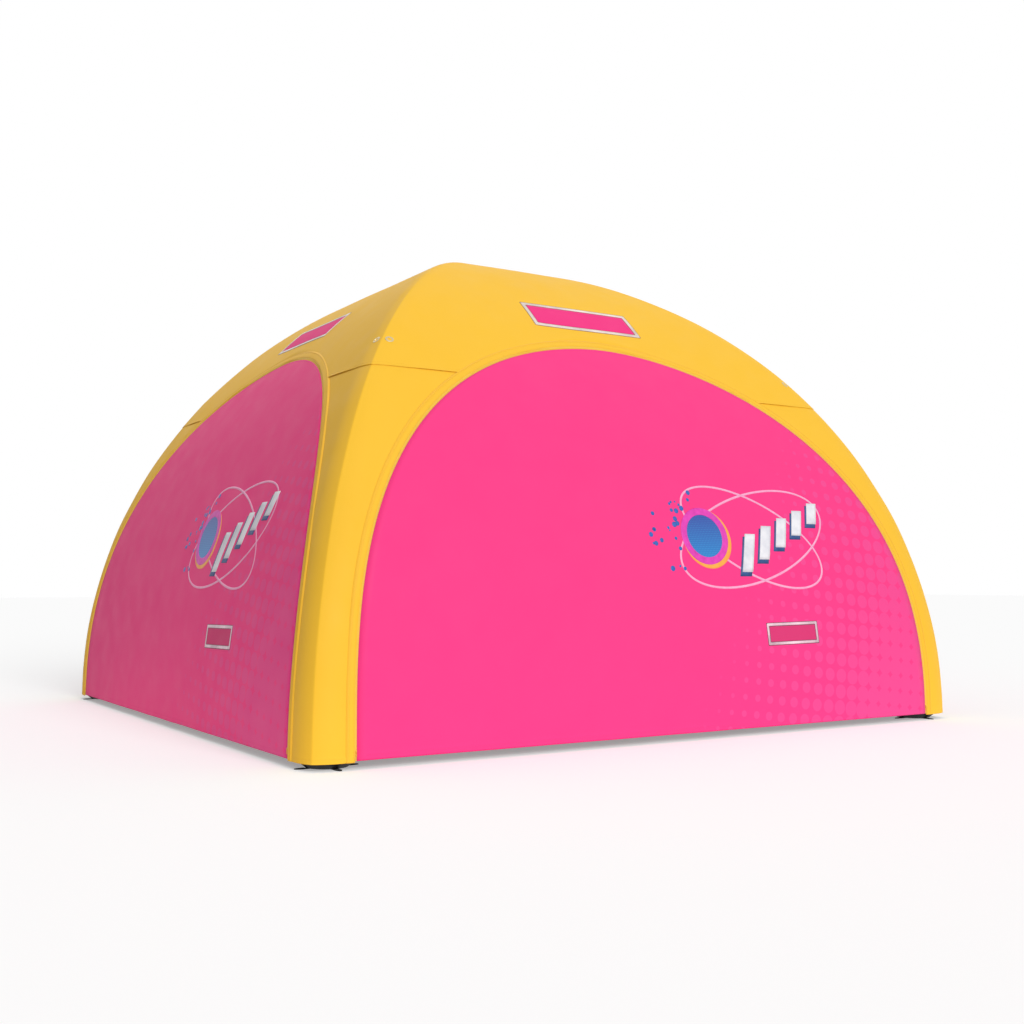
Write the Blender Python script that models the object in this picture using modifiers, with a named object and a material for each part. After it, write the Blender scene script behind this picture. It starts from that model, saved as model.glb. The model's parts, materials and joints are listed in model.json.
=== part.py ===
"""Inflatable tent on four legs, with a wall zipped into the arch of each side.

Four air beams rise from the corners and meet in a hub under the crown. A roof and four leg covers are
stretched over them, so every surface follows one vault: four curved faces that meet in ridges, which are
creased on the legs and rounded at the crown.
Metres, +Z up. The origin is on the ground below the crown, and the front wall faces -Y.
"""

import math

import bmesh
import bpy
from mathutils import Matrix, Vector

# Vault: each face follows one curve, from the foot of its wall up to the crown
HALF_SPAN = 2.0275
VAULT_RISE = 2.772
SPAN_POWER = 1.859
RISE_POWER = 2.022
WALL_HEM_HEIGHT = 0.037
VAULT_STEPS = 18

# Ridges: on a leg both faces roll towards a crease, which softens to a round arc towards the crown
LEG_RIDGE_RADIUS = 0.15
CROWN_RIDGE_RADIUS = 0.10
RIDGE_ROLL = 1.53
SOFTEN_FROM_TURN = 0.68
SOFTEN_TO_TURN = 1.22
RIDGE_ANGLES = (0, 14, 40, 50, 76, 90)

# Covers
FABRIC = 0.002
WALL_FABRIC = 0.0012
LEG_HEM_HEIGHT = 0.020
ROOF_HEM_HEIGHT = 1.850
ROOF_LAP = 0.040
ROOF_LIFT = 0.0004

# Arch of each side, in the plane of its face
ARCH_MARGIN = 0.2205
ARCH_RISE = 2.060
ARCH_WIDTH_POWER = 1.89
ARCH_RISE_POWER = 2.663
ARCH_STEPS = 15
ARCH_CROWDING = 1.2

# Zip, and the flap band that edges it
ZIP_WIDTH = 0.006
ZIP_GAP = 0.0009
BAND_INSET = 0.008
BAND_WIDTH = 0.034
BAND_THICKNESS = 0.0025
BAND_LIFT = 0.0003

# Zip slider
SLIDER_WIDTH = 0.008
SLIDER_LENGTH = 0.018
SLIDER_THICKNESS = 0.0055
SLIDER_SHIFT = 0.0006
SLIDER_LIFT = -0.0003
SLIDER_HEIGHTS = (0.078, 0.35, 0.68)
SLIDER_EASE = 0.0017
PULL_WIDTH = 0.006
PULL_LENGTH = 0.030
PULL_THICKNESS = 0.0016

# Air beams and their hub
BEAM_RADIUS = 0.150
BEAM_WALL = 0.002
BEAM_SEAT_GAP = 0.0005
BEAM_SIDES_RESOLUTION = 4
BEAM_STATION_STEPS = 2
HUB_REACH = 0.26
BUTT_GAP = 0.0005
BEAM_FOOT_RISES = (0.0, 0.025, 0.065, 0.115)
BEAM_FOOT_SHARES = (0.60, 0.80, 0.90, 0.96)

# Foot
WEBBING_THICKNESS = 0.002
WEBBING_WIDTH = 0.030
WEBBING_REACH = 0.150
WEBBING_TIP = 0.006
SEAT_GAP = 0.0003
CUP_WALL = 0.003
CUP_CLEARANCE = 0.005
CUP_HEIGHT = 0.095
CUP_STEPS = 16

# Eyelets beside each ridge, each between two of the ridge's angles
EYELET_ABOVE_HEM = 0.134
EYELET_ANGLES = (3, 1)
EYELET_NUDGE = 0.01
EYELET_HOLE_RADIUS = 0.011
EYELET_BARREL_RADIUS = 0.0130
EYELET_FLANGE_RADIUS = 0.0220
EYELET_WASHER_RADIUS = 0.0160
EYELET_FLANGE = 0.0018
EYELET_DOME = 0.0008
EYELET_WASHER_DROP = 0.0016
EYELET_STEPS = 10

# Inflation valve, inside each leg
VALVE_HEIGHT = 0.72
VALVE_BORE_RADIUS = 0.0130
VALVE_BARREL_RADIUS = 0.0180
VALVE_BARREL_DEPTH = 0.024
VALVE_FLANGE_RADIUS = 0.0280
VALVE_FLANGE = 0.0035
VALVE_COLLAR_RADIUS = 0.0210
VALVE_COLLAR_HEIGHT = 0.012
VALVE_LIP = 0.003
VALVE_SEAT_RADIUS = 0.0090
VALVE_STEPS = 12
STEM_CLEARANCE = 0.0003
STEM_RADIUS = VALVE_SEAT_RADIUS - STEM_CLEARANCE
STEM_TOP = 0.006
POPPET_RADIUS = 0.0120
POPPET_THICKNESS = 0.0022
BUTTON_RADIUS = 0.0105
BUTTON_THICKNESS = 0.0028
CAP_WALL = 0.0025
CAP_TOP = 0.003
CAP_HEAD_ROOM = 0.002
GRIP_LENGTH = 0.034
GRIP_WIDTH = 0.006
GRIP_HEIGHT = 0.006

# Cutting and joining
OVERRUN = 0.2
JOIN_LAP = 0.0005
MERGE = 0.00001
SCREW_MERGE = 0.00005

SIDES = ("front", "right", "back", "left")
CORNERS = ("front_left", "front_right", "back_right", "back_left")
HANDS = (("left", -1), ("right", 1))
ARCH_HALF_WIDTH = HALF_SPAN - ARCH_MARGIN
ZIP_HALF = ZIP_WIDTH / 2
EDGE_GAP = ZIP_HALF + ZIP_GAP
EYELET_HEIGHT = ROOF_HEM_HEIGHT + EYELET_ABOVE_HEM
FACE_GAP = FABRIC + BEAM_SEAT_GAP
BEAM_DEPTH = FACE_GAP + BEAM_RADIUS
BAND_LOW = ROOF_LIFT + FABRIC + BAND_LIFT

for item in list(bpy.data.objects):
    bpy.data.objects.remove(item)
tent = bpy.data.collections.new("inflatable_tent")
cutters = bpy.data.collections.new("cutters")
for group in (tent, cutters):
    bpy.context.scene.collection.children.link(group)
cutters.hide_render = True


def material(name, red, green, blue, roughness, metallic=0.0):
    """Principled material from an 8 bit screen colour."""
    made = bpy.data.materials.new(name)
    made.use_nodes = True
    shader = made.node_tree.nodes["Principled BSDF"]
    linear = [((value / 255 + 0.055) / 1.055) ** 2.4 if value > 10 else value / 3295 for value in (red, green, blue)]
    shader.inputs["Base Color"].default_value = (*linear, 1)
    shader.inputs["Roughness"].default_value = roughness
    shader.inputs["Metallic"].default_value = metallic
    made.diffuse_color = (*linear, 1)
    return made


YELLOW = material("yellow_polyester", 255, 203, 71, 0.75)
PINK = material("pink_polyester", 255, 70, 144, 0.75)
ZIP_TAPE = material("zip_tape", 236, 184, 60, 0.6)
SLIDER_PAINT = material("slider_enamel", 240, 190, 62, 0.4)
BLADDER = material("bladder_film", 226, 226, 224, 0.35)
FOOT_VINYL = material("foot_vinyl", 30, 30, 32, 0.6)
WEBBING = material("webbing", 22, 22, 24, 0.85)
NICKEL = material("nickel", 190, 190, 192, 0.3, 1.0)
VALVE_BLACK = material("valve_plastic", 34, 34, 36, 0.45)
VALVE_GREY = material("valve_cap_plastic", 66, 67, 70, 0.45)
BUTTON_RED = material("valve_button", 196, 44, 40, 0.4)


def add(name, data, finish=None, helper=False, matrix=None):
    """Object with this data, in the tent, or among the cutters if it is a helper."""
    made = bpy.data.objects.new(name, data)
    (cutters if helper else tent).objects.link(made)
    if helper:
        made.hide_render = True
        made.display_type = "WIRE"
    if finish and finish.name not in [kept.name for kept in data.materials if kept]:
        data.materials.append(finish)
    if matrix:
        made.matrix_world = matrix
    return made


def mesh_from(name, shape):
    data = bpy.data.meshes.new(name)
    bmesh.ops.remove_doubles(shape, verts=shape.verts, dist=MERGE)
    bmesh.ops.recalc_face_normals(shape, faces=shape.faces)
    shape.to_mesh(data)
    shape.free()
    return data


def evaluated_mesh(made):
    """Mesh of the object with its modifiers applied, and the object removed."""
    bpy.context.view_layer.update()
    graph = bpy.context.evaluated_depsgraph_get()
    shape = bmesh.new()
    shape.from_mesh(bpy.data.meshes.new_from_object(made.evaluated_get(graph)))
    name = made.name
    bpy.data.objects.remove(made)
    return mesh_from(name, shape)


def boolean(made, operation, *others, solver="EXACT"):
    for other in others:
        step = made.modifiers.new(other.name, "BOOLEAN")
        step.operation = operation
        step.solver = solver
        step.object = other


def clear_of(radius, steps):
    """Radius of a hole with this many sides, whose flats clear a round of this radius."""
    return (radius + SEAT_GAP) / math.cos(math.pi / steps)


def quarter(index):
    """Turn from the front to this side, or from the front left leg to this corner."""
    return Matrix.Rotation(math.radians(90 * index), 4, "Z")


def side_copies(prefix, data, finish, place=Matrix()):
    return [
        add(f"{prefix}_{side}", data, finish, matrix=quarter(index) @ place) for index, side in enumerate(SIDES)
    ]


def corner_copies(prefix, data, finish, place=Matrix()):
    return [
        add(f"{prefix}_{corner}", data, finish, matrix=quarter(index) @ place)
        for index, corner in enumerate(CORNERS)
    ]


# The vault's curve


def face_curve(turn):
    """Distance out, height, and normal (out, up) of a face, from turn 0 at the hem to a quarter turn at the crown."""
    out = HALF_SPAN * math.cos(turn) ** (2 / SPAN_POWER)
    rise = VAULT_RISE * math.sin(turn) ** (2 / RISE_POWER)
    normal = Vector(
        (
            SPAN_POWER * (out / HALF_SPAN) ** (SPAN_POWER - 1) / HALF_SPAN,
            RISE_POWER * (rise / VAULT_RISE) ** (RISE_POWER - 1) / VAULT_RISE,
        )
    ).normalized()
    return out, WALL_HEM_HEIGHT + rise, normal


def turn_at(height):
    return math.asin(((height - WALL_HEM_HEIGHT) / VAULT_RISE) ** (RISE_POWER / 2))


EVEN_TURNS = [math.pi / 2 * step / VAULT_STEPS for step in range(VAULT_STEPS)] + [math.pi / 2]
ROOF_HEM_TURN = turn_at(ROOF_HEM_HEIGHT)
LAP_TURN = turn_at(ROOF_HEM_HEIGHT + ROOF_LAP)
ARCH_TOP_TURN = turn_at(WALL_HEM_HEIGHT + ARCH_RISE + BAND_INSET + BAND_WIDTH)
TURNS = sorted(EVEN_TURNS + [ROOF_HEM_TURN, LAP_TURN, turn_at(EYELET_HEIGHT)])


def turns_between(low, high):
    return [turn for turn in TURNS if low <= turn <= high]


def ridge_centre(turn, depth):
    """Point on the front left diagonal, this deep below both of its faces."""
    out, height, normal = face_curve(turn)
    inset = out - depth * normal.x
    return Vector((-inset, -inset, height - depth * normal.y))


def softness(turn):
    """0 where the ridge is creased, 1 where it is round."""
    share = (turn - SOFTEN_FROM_TURN) / (SOFTEN_TO_TURN - SOFTEN_FROM_TURN)
    share = min(max(share, 0), 1)
    return share * share * (3 - 2 * share)


def ridge_radius(turn):
    return LEG_RIDGE_RADIUS + (CROWN_RIDGE_RADIUS - LEG_RIDGE_RADIUS) * softness(turn)


def ridge_reach(turn, angle):
    """How far the ridge's surface lies from its centre line. Each face's roll is an arc, up to the crease."""
    fold = min(angle, math.pi / 2 - angle)
    shift = RIDGE_ROLL - 1
    creased = math.sqrt(RIDGE_ROLL**2 - (shift * math.sin(fold)) ** 2) - shift * math.cos(fold)
    return ridge_radius(turn) * (creased + (1 - creased) * softness(turn))


def ridge_arc(turn, offset):
    """Points round the front left ridge, from the left face to the front face."""
    normal = face_curve(turn)[2]
    centre = ridge_centre(turn, ridge_radius(turn))
    left = Vector((-normal.x, 0, normal.y))
    front = Vector((0, -normal.x, normal.y))
    points = []
    for degrees in RIDGE_ANGLES:
        angle = math.radians(degrees)
        direction = (left * math.cos(angle) + front * math.sin(angle)).normalized()
        points.append(centre + (ridge_reach(turn, angle) + offset) * direction)
    return points


def ring(turn, offset):
    """The whole section of the vault at this turn, moved out by offset."""
    arc = ridge_arc(turn, offset)
    return [quarter(index) @ point for index in range(len(CORNERS)) for point in arc]


def front_row(turn, offset, half_width):
    """Two points of the front face at this turn."""
    out, height, normal = face_curve(turn)
    place = (-out - offset * normal.x, height + offset * normal.y)
    return [Vector((side * half_width, *place)) for side in (-1, 1)]


def corner_row(turn, offset):
    """From the middle of the left face round the ridge to the middle of the front face."""
    out, height, normal = face_curve(turn)
    reach, top = out + offset * normal.x, height + offset * normal.y
    return [Vector((-reach, 0, top)), *ridge_arc(turn, offset), Vector((0, -reach, top))]


def dropped(row, height):
    return [Vector((point.x, point.y, height)) for point in row]


def skin(name, outer, inner, around=False, capped=False):
    """Closed mesh between two grids of points. Around joins its ends, and capped means that it ends in a point."""
    shape = bmesh.new()
    grids = [[[shape.verts.new(point) for point in row] for row in grid] for grid in (outer, inner)]
    columns = len(outer[0])
    spans = [(column, (column + 1) % columns) for column in range(columns if around else columns - 1)]
    for grid in grids:
        for low, high in zip(grid, grid[1:]):
            for here, there in spans:
                shape.faces.new((low[here], low[there], high[there], high[here]))
    for row in (0,) if capped else (0, -1):
        for here, there in spans:
            shape.faces.new((grids[0][row][here], grids[0][row][there], grids[1][row][there], grids[1][row][here]))
    if not around:
        for column in (0, -1):
            for low, high in zip(range(len(outer)), range(1, len(outer))):
                ends = [grid[row][column] for grid, row in ((grids[0], low), (grids[0], high), (grids[1], high), (grids[1], low))]
                shape.faces.new(ends)
    return mesh_from(name, shape)


def front_slab(name, low, high, hem_height, top_turn):
    """Sheet of the front face between two offsets, wider than its arch."""
    turns = turns_between(0, top_turn)
    turns.append(min(turn for turn in TURNS if turn > turns[-1]))
    grids = []
    for offset in (high, low):
        rows = [front_row(turn, offset, HALF_SPAN) for turn in turns]
        if hem_height < WALL_HEM_HEIGHT:
            rows.insert(0, dropped(rows[0], hem_height))
        grids.append(rows)
    return add(name, skin(name, *grids))


# The arch


def arch_outline(offset):
    """Points (across, up) of the arch from its left foot to its right foot, moved outwards by offset."""
    half = []
    for step in range(ARCH_STEPS + 1):
        angle = math.pi / 2 * (step / ARCH_STEPS) ** ARCH_CROWDING
        across = max(math.cos(angle), 0) ** (2 / ARCH_WIDTH_POWER) if step < ARCH_STEPS else 0.0
        up = math.sin(angle) ** (2 / ARCH_RISE_POWER)
        normal = Vector(
            (
                ARCH_WIDTH_POWER * across ** (ARCH_WIDTH_POWER - 1) / ARCH_HALF_WIDTH,
                ARCH_RISE_POWER * up ** (ARCH_RISE_POWER - 1) / ARCH_RISE,
            )
        ).normalized()
        half.append(Vector((across * ARCH_HALF_WIDTH, WALL_HEM_HEIGHT + up * ARCH_RISE)) + offset * normal)
    left = [Vector((-point.x, point.y)) for point in half]
    return left + half[-2::-1]


def arch_half_width(height):
    rise = (height - WALL_HEM_HEIGHT) / ARCH_RISE
    return ARCH_HALF_WIDTH * (1 - rise**ARCH_RISE_POWER) ** (1 / ARCH_WIDTH_POWER)


def legged(outline):
    """The outline with its feet carried straight down below the ground."""
    return [Vector((outline[0].x, -OVERRUN)), *outline, Vector((outline[-1].x, -OVERRUN))]


def front_prism(name, outline):
    """Cutter with this outline, standing through the front face."""
    curve = bpy.data.curves.new(name, "CURVE")
    curve.dimensions = "2D"
    curve.fill_mode = "BOTH"
    curve.extrude = HALF_SPAN / 2
    spline = curve.splines.new("POLY")
    spline.points.add(len(outline) - 1)
    for point, place in zip(spline.points, outline):
        point.co = (place.x, place.y, 0, 1)
    spline.use_cyclic_u = True
    upright = Matrix.Translation((0, -HALF_SPAN * 3 / 4 - OVERRUN, 0)) @ Matrix.Rotation(math.pi / 2, 4, "X")
    flat = add(name, curve, helper=True, matrix=upright)
    data = evaluated_mesh(flat)
    data.transform(upright)
    return add(name, data, helper=True)


def arch_band(name, inner, outer):
    """Cutter for the strip between two offsets of the arch."""
    return front_prism(name, legged(arch_outline(outer)) + legged(arch_outline(inner))[::-1])


wall_cutter = front_prism("wall_outline", legged(arch_outline(-EDGE_GAP)))
door_cutter = front_prism("door_outline", legged(arch_outline(EDGE_GAP)))
zip_cutter = arch_band("zip_outline", -ZIP_HALF, ZIP_HALF)
band_cutter = arch_band("band_outline", BAND_INSET, BAND_INSET + BAND_WIDTH)
door_cutters = [add(f"door_{side}", door_cutter.data, helper=True, matrix=quarter(i)) for i, side in enumerate(SIDES)]


# Covers, walls, zips and bands


def wall_hinge():
    """Top of the front wall's outer face, where it swings when its zip is open."""
    top = WALL_HEM_HEIGHT + ARCH_RISE - EDGE_GAP
    out, height, _ = face_curve(turn_at(top))
    return Vector((0, -out, height))


def walls():
    slab = front_slab("wall", -WALL_FABRIC, 0, WALL_HEM_HEIGHT, ARCH_TOP_TURN)
    boolean(slab, "INTERSECT", wall_cutter)
    data = evaluated_mesh(slab)
    data.transform(Matrix.Translation(-wall_hinge()))
    side_copies("wall", data, PINK, Matrix.Translation(wall_hinge()))


def zips():
    slab = front_slab("zip", -FABRIC, 0, WALL_HEM_HEIGHT, ARCH_TOP_TURN)
    boolean(slab, "INTERSECT", zip_cutter)
    side_copies("zip", evaluated_mesh(slab), ZIP_TAPE)


def bands():
    slab = front_slab("flap_band", BAND_LOW, BAND_LOW + BAND_THICKNESS, LEG_HEM_HEIGHT, ARCH_TOP_TURN)
    boolean(slab, "INTERSECT", band_cutter)
    side_copies("flap_band", evaluated_mesh(slab), YELLOW)


def leg_covers():
    turns = turns_between(0, LAP_TURN)
    grids = []
    for offset in (0, -FABRIC):
        rows = [corner_row(turn, offset) for turn in turns]
        grids.append([dropped(rows[0], LEG_HEM_HEIGHT), *rows])
    cover = add("leg_cover", skin("leg_cover", *grids))
    boolean(cover, "DIFFERENCE", door_cutters[0], door_cutters[-1])
    corner_copies("leg_cover", evaluated_mesh(cover), YELLOW)


def eyelet_places():
    """Where the two eyelets of the front left ridge sit on the roof's inner face, with their Z axes outwards."""
    turn = turn_at(EYELET_HEIGHT)
    low, here, high = (ridge_arc(turn + nudge, ROOF_LIFT) for nudge in (-EYELET_NUDGE, 0, EYELET_NUDGE))
    places = []
    for column in EYELET_ANGLES:
        middle = (here[column] + here[column + 1]) / 2
        rise = (high[column] + high[column + 1]) - (low[column] + low[column + 1])
        outward = (here[column + 1] - here[column]).cross(rise)
        places.append(Matrix.Translation(middle) @ outward.to_track_quat("Z", "Y").to_matrix().to_4x4())
    return places


def roof():
    turns = turns_between(ROOF_HEM_TURN, TURNS[-1])
    grids = [[ring(turn, offset) for turn in turns] for offset in (ROOF_LIFT + FABRIC, ROOF_LIFT)]
    canopy = add("roof_canopy", skin("roof_canopy", *grids, around=True, capped=True), YELLOW)
    holes = bmesh.new()
    for index in range(len(CORNERS)):
        for place in eyelet_places():
            bmesh.ops.create_cone(
                holes,
                cap_ends=True,
                segments=EYELET_STEPS,
                radius1=clear_of(EYELET_BARREL_RADIUS, EYELET_STEPS),
                radius2=clear_of(EYELET_BARREL_RADIUS, EYELET_STEPS),
                depth=4 * EYELET_BARREL_RADIUS,
                matrix=quarter(index) @ place,
            )
    boolean(canopy, "DIFFERENCE", *door_cutters, add("eyelet_holes", mesh_from("eyelet_holes", holes), helper=True))


# Air beams


def tube(name, points, radius, shares, helper=False):
    """Round tube along these points, with closed ends."""
    curve = bpy.data.curves.new(name, "CURVE")
    curve.dimensions = "3D"
    curve.bevel_depth = radius
    curve.bevel_resolution = BEAM_SIDES_RESOLUTION
    curve.use_fill_caps = True
    spline = curve.splines.new("POLY")
    spline.points.add(len(points) - 1)
    for point, place, share in zip(spline.points, points, shares):
        point.co = (*place, 1)
        point.radius = share
    return add(name, evaluated_mesh(add(name, curve, helper=True)), helper=helper)


def beam_route():
    """Centre line of the front left beam: its foot, its stations, and the point where it meets the hub."""
    base = ridge_centre(0, BEAM_DEPTH)
    floor = WEBBING_THICKNESS + SEAT_GAP + CUP_WALL + SEAT_GAP
    foot = [Vector((base.x, base.y, floor + rise)) for rise in BEAM_FOOT_RISES]
    stations = [ridge_centre(turn, BEAM_DEPTH) for turn in EVEN_TURNS[BEAM_STATION_STEPS::BEAM_STATION_STEPS]]
    crown = stations[-1]
    along = (stations[-2] - crown).normalized()
    return foot, stations[:-1], crown + HUB_REACH * along, along


def valve_place():
    """Where the front left valve sits on its beam, with its Z axis out of the beam, towards the inside of the tent."""
    foot, stations, _, _ = beam_route()
    low, high = [pair for pair in zip(stations, stations[1:]) if pair[0].z <= VALVE_HEIGHT <= pair[1].z][0]
    along = (high - low).normalized()
    centre = low + along * ((VALVE_HEIGHT - low.z) / along.z)
    inward = Vector((1, 1, 0))
    axis = (inward - inward.dot(along) * along).normalized()
    return Matrix.Translation(centre + BEAM_RADIUS * axis) @ axis.to_track_quat("Z", "Y").to_matrix().to_4x4()


def cylinder(name, radius, low, high, steps, helper=True, matrix=Matrix()):
    """Cylinder or prism on the Z axis of matrix, from low to high."""
    shape = bmesh.new()
    place = matrix @ Matrix.Translation((0, 0, (low + high) / 2))
    bmesh.ops.create_cone(
        shape, cap_ends=True, segments=steps, radius1=radius, radius2=radius, depth=high - low, matrix=place
    )
    return add(name, mesh_from(name, shape), helper=helper)


def air_beams():
    foot, stations, end, along = beam_route()
    full = [1.0] * (len(stations) + 1)
    beam = tube("air_beam", [*foot, *stations, end], BEAM_RADIUS, [*BEAM_FOOT_SHARES, *full])
    thinner = BEAM_RADIUS - BEAM_WALL
    raised = [point + Vector((0, 0, BEAM_WALL)) for point in foot[:1]] + foot[1:]
    hollow = tube("beam_air", [*raised, *stations, end - OVERRUN * along], thinner, [*BEAM_FOOT_SHARES, *full], True)
    hole = cylinder(
        "valve_hole",
        clear_of(VALVE_BARREL_RADIUS, VALVE_STEPS),
        -BEAM_RADIUS / 2,
        BEAM_RADIUS / 2,
        VALVE_STEPS,
        matrix=valve_place(),
    )
    boolean(beam, "DIFFERENCE", hollow, hole)
    corner_copies("air_beam", evaluated_mesh(beam), BLADDER)


def crown_hub():
    """Two bent tubes that cross under the crown, open at their four ends, where the beams butt on.

    Both tubes have points in common at the crown, which the EXACT solver leaves unjoined.
    """
    _, stations, end, along = beam_route()
    near = end - BUTT_GAP * along
    crown = ridge_centre(EVEN_TURNS[-1], BEAM_DEPTH)
    half_turn = quarter(2)
    arm = [near, crown, half_turn @ near]
    longer = [near + OVERRUN * along, crown, half_turn @ (near + OVERRUN * along)]
    hub = tube("crown_hub", arm, BEAM_RADIUS, [1.0] * len(arm))
    cross = tube("hub_cross", [quarter(1) @ point for point in arm], BEAM_RADIUS, [1.0] * len(arm), True)
    thinner = BEAM_RADIUS - BEAM_WALL
    first = tube("hub_air", longer, thinner, [1.0] * len(arm), True)
    second = tube("hub_air_cross", [quarter(1) @ point for point in longer], thinner, [1.0] * len(arm), True)
    boolean(hub, "UNION", cross, solver="MANIFOLD")
    boolean(hub, "DIFFERENCE", first, second, solver="MANIFOLD")
    hub.data.materials.append(BLADDER)


# Turned pieces


def turned(name, profile, steps):
    """Mesh of a closed outline of (radius, height) points, to be turned by a Screw modifier."""
    shape = bmesh.new()
    points = [shape.verts.new((radius, 0, height)) for radius, height in profile]
    for here, there in zip(points, points[1:] + points[:1]):
        if here.co.x or there.co.x:
            shape.edges.new((here, there))
    data = bpy.data.meshes.new(name)
    shape.to_mesh(data)
    shape.free()
    made = add(name, data)
    screw = made.modifiers.new("turn", "SCREW")
    screw.axis = "Z"
    screw.steps = screw.render_steps = steps
    screw.use_merge_vertices = True
    screw.merge_threshold = SCREW_MERGE
    screw.use_smooth_shade = True
    return made


def foot_base():
    foot = beam_route()[0]
    return Vector((foot[0].x, foot[0].y, 0))


def foot_cups():
    """Bowl that the beam stands in. Its sides follow the beam's foot."""
    floor = WEBBING_THICKNESS + SEAT_GAP
    sides = []
    for rise, share in zip(BEAM_FOOT_RISES, BEAM_FOOT_SHARES):
        sides.append((share * BEAM_RADIUS + CUP_CLEARANCE, rise))
    (low_radius, low), (high_radius, high) = sides[-2:]
    rim = low_radius + (high_radius - low_radius) * (CUP_HEIGHT - low) / (high - low)
    inner = [(radius, floor + CUP_WALL + rise) for radius, rise in sides[:-1]] + [(rim, floor + CUP_WALL + CUP_HEIGHT)]
    outer = [(radius + CUP_WALL, height) for radius, height in inner[::-1]][:-1]
    base = (inner[0][0] + CUP_WALL, floor)
    profile = [(0, floor + CUP_WALL), *inner, *outer, base, (0, floor)]
    cup = turned("foot_cup", profile, CUP_STEPS)
    corner_copies("foot_cup", evaluated_mesh(cup), FOOT_VINYL, Matrix.Translation(foot_base()))


def peg_webbing():
    """Cross of webbing under the foot, whose four ends take the ground pegs."""
    half = WEBBING_WIDTH / 2
    tip = WEBBING_REACH - WEBBING_TIP
    arm = [Vector((half, half)), Vector((half, tip)), Vector((half - WEBBING_TIP, WEBBING_REACH))]
    arm += [Vector((-point.x, point.y)) for point in arm[:0:-1]]
    outline = []
    for index in range(len(CORNERS)):
        turn = Matrix.Rotation(math.radians(-90 * index), 2)
        outline += [turn.inverted() @ point for point in arm]
    curve = bpy.data.curves.new("peg_webbing", "CURVE")
    curve.dimensions = "2D"
    curve.fill_mode = "BOTH"
    curve.extrude = WEBBING_THICKNESS / 2
    spline = curve.splines.new("POLY")
    spline.points.add(len(outline) - 1)
    for point, place in zip(spline.points, outline):
        point.co = (place.x, place.y, 0, 1)
    spline.use_cyclic_u = True
    data = evaluated_mesh(add("peg_webbing", curve, helper=True))
    place = Matrix.Translation(foot_base() + Vector((0, 0, WEBBING_THICKNESS / 2)))
    corner_copies("peg_webbing", data, WEBBING, place)


def eyelets():
    """Two-part eyelet, clenched through the roof: a domed flange outside, a barrel and a washer inside."""
    top = FABRIC + SEAT_GAP
    below = -EYELET_WASHER_DROP
    profile = [
        (EYELET_HOLE_RADIUS, below - EYELET_FLANGE / 2),
        (EYELET_HOLE_RADIUS, top + EYELET_FLANGE - EYELET_DOME),
        (EYELET_BARREL_RADIUS, top + EYELET_FLANGE),
        (EYELET_FLANGE_RADIUS, top + EYELET_DOME),
        (EYELET_FLANGE_RADIUS, top),
        (EYELET_BARREL_RADIUS, top),
        (EYELET_BARREL_RADIUS, below),
        (EYELET_WASHER_RADIUS, below),
        (EYELET_WASHER_RADIUS, below - EYELET_FLANGE / 2),
    ]
    data = evaluated_mesh(turned("eyelet", profile, EYELET_STEPS))
    for letter, place in zip("ab", eyelet_places()):
        for index, corner in enumerate(CORNERS):
            add(f"eyelet_{corner}_{letter}", data, NICKEL, matrix=quarter(index) @ place)


# Valves


def valve_bodies():
    """Flanged body seated in the beam, with a threaded collar outside and a seat at the inner end of its bore."""
    profile = [
        (VALVE_SEAT_RADIUS, -VALVE_BARREL_DEPTH),
        (VALVE_SEAT_RADIUS, -VALVE_BARREL_DEPTH + VALVE_LIP),
        (VALVE_BORE_RADIUS, -VALVE_BARREL_DEPTH + VALVE_LIP),
        (VALVE_BORE_RADIUS, VALVE_COLLAR_HEIGHT),
        (VALVE_COLLAR_RADIUS, VALVE_COLLAR_HEIGHT),
        (VALVE_COLLAR_RADIUS, SEAT_GAP + VALVE_FLANGE),
        (VALVE_FLANGE_RADIUS, SEAT_GAP + VALVE_FLANGE),
        (VALVE_FLANGE_RADIUS, SEAT_GAP),
        (VALVE_BARREL_RADIUS, SEAT_GAP),
        (VALVE_BARREL_RADIUS, -VALVE_BARREL_DEPTH),
    ]
    corner_copies("valve_body", evaluated_mesh(turned("valve_body", profile, VALVE_STEPS)), VALVE_BLACK, valve_place())


def valve_poppets():
    """Button on a square stem, with the disc that its spring holds against the inner seat."""
    seat = -VALVE_BARREL_DEPTH - SEAT_GAP
    stem = cylinder("valve_poppet", STEM_RADIUS, seat - POPPET_THICKNESS / 2, STEM_TOP, 4, helper=False)
    disc = cylinder("poppet_disc", POPPET_RADIUS, seat - POPPET_THICKNESS, seat, VALVE_STEPS)
    button = cylinder("poppet_button", BUTTON_RADIUS, STEM_TOP - JOIN_LAP, STEM_TOP + BUTTON_THICKNESS, VALVE_STEPS)
    boolean(stem, "UNION", disc, button)
    corner_copies("valve_poppet", evaluated_mesh(stem), BUTTON_RED, valve_place())


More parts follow.
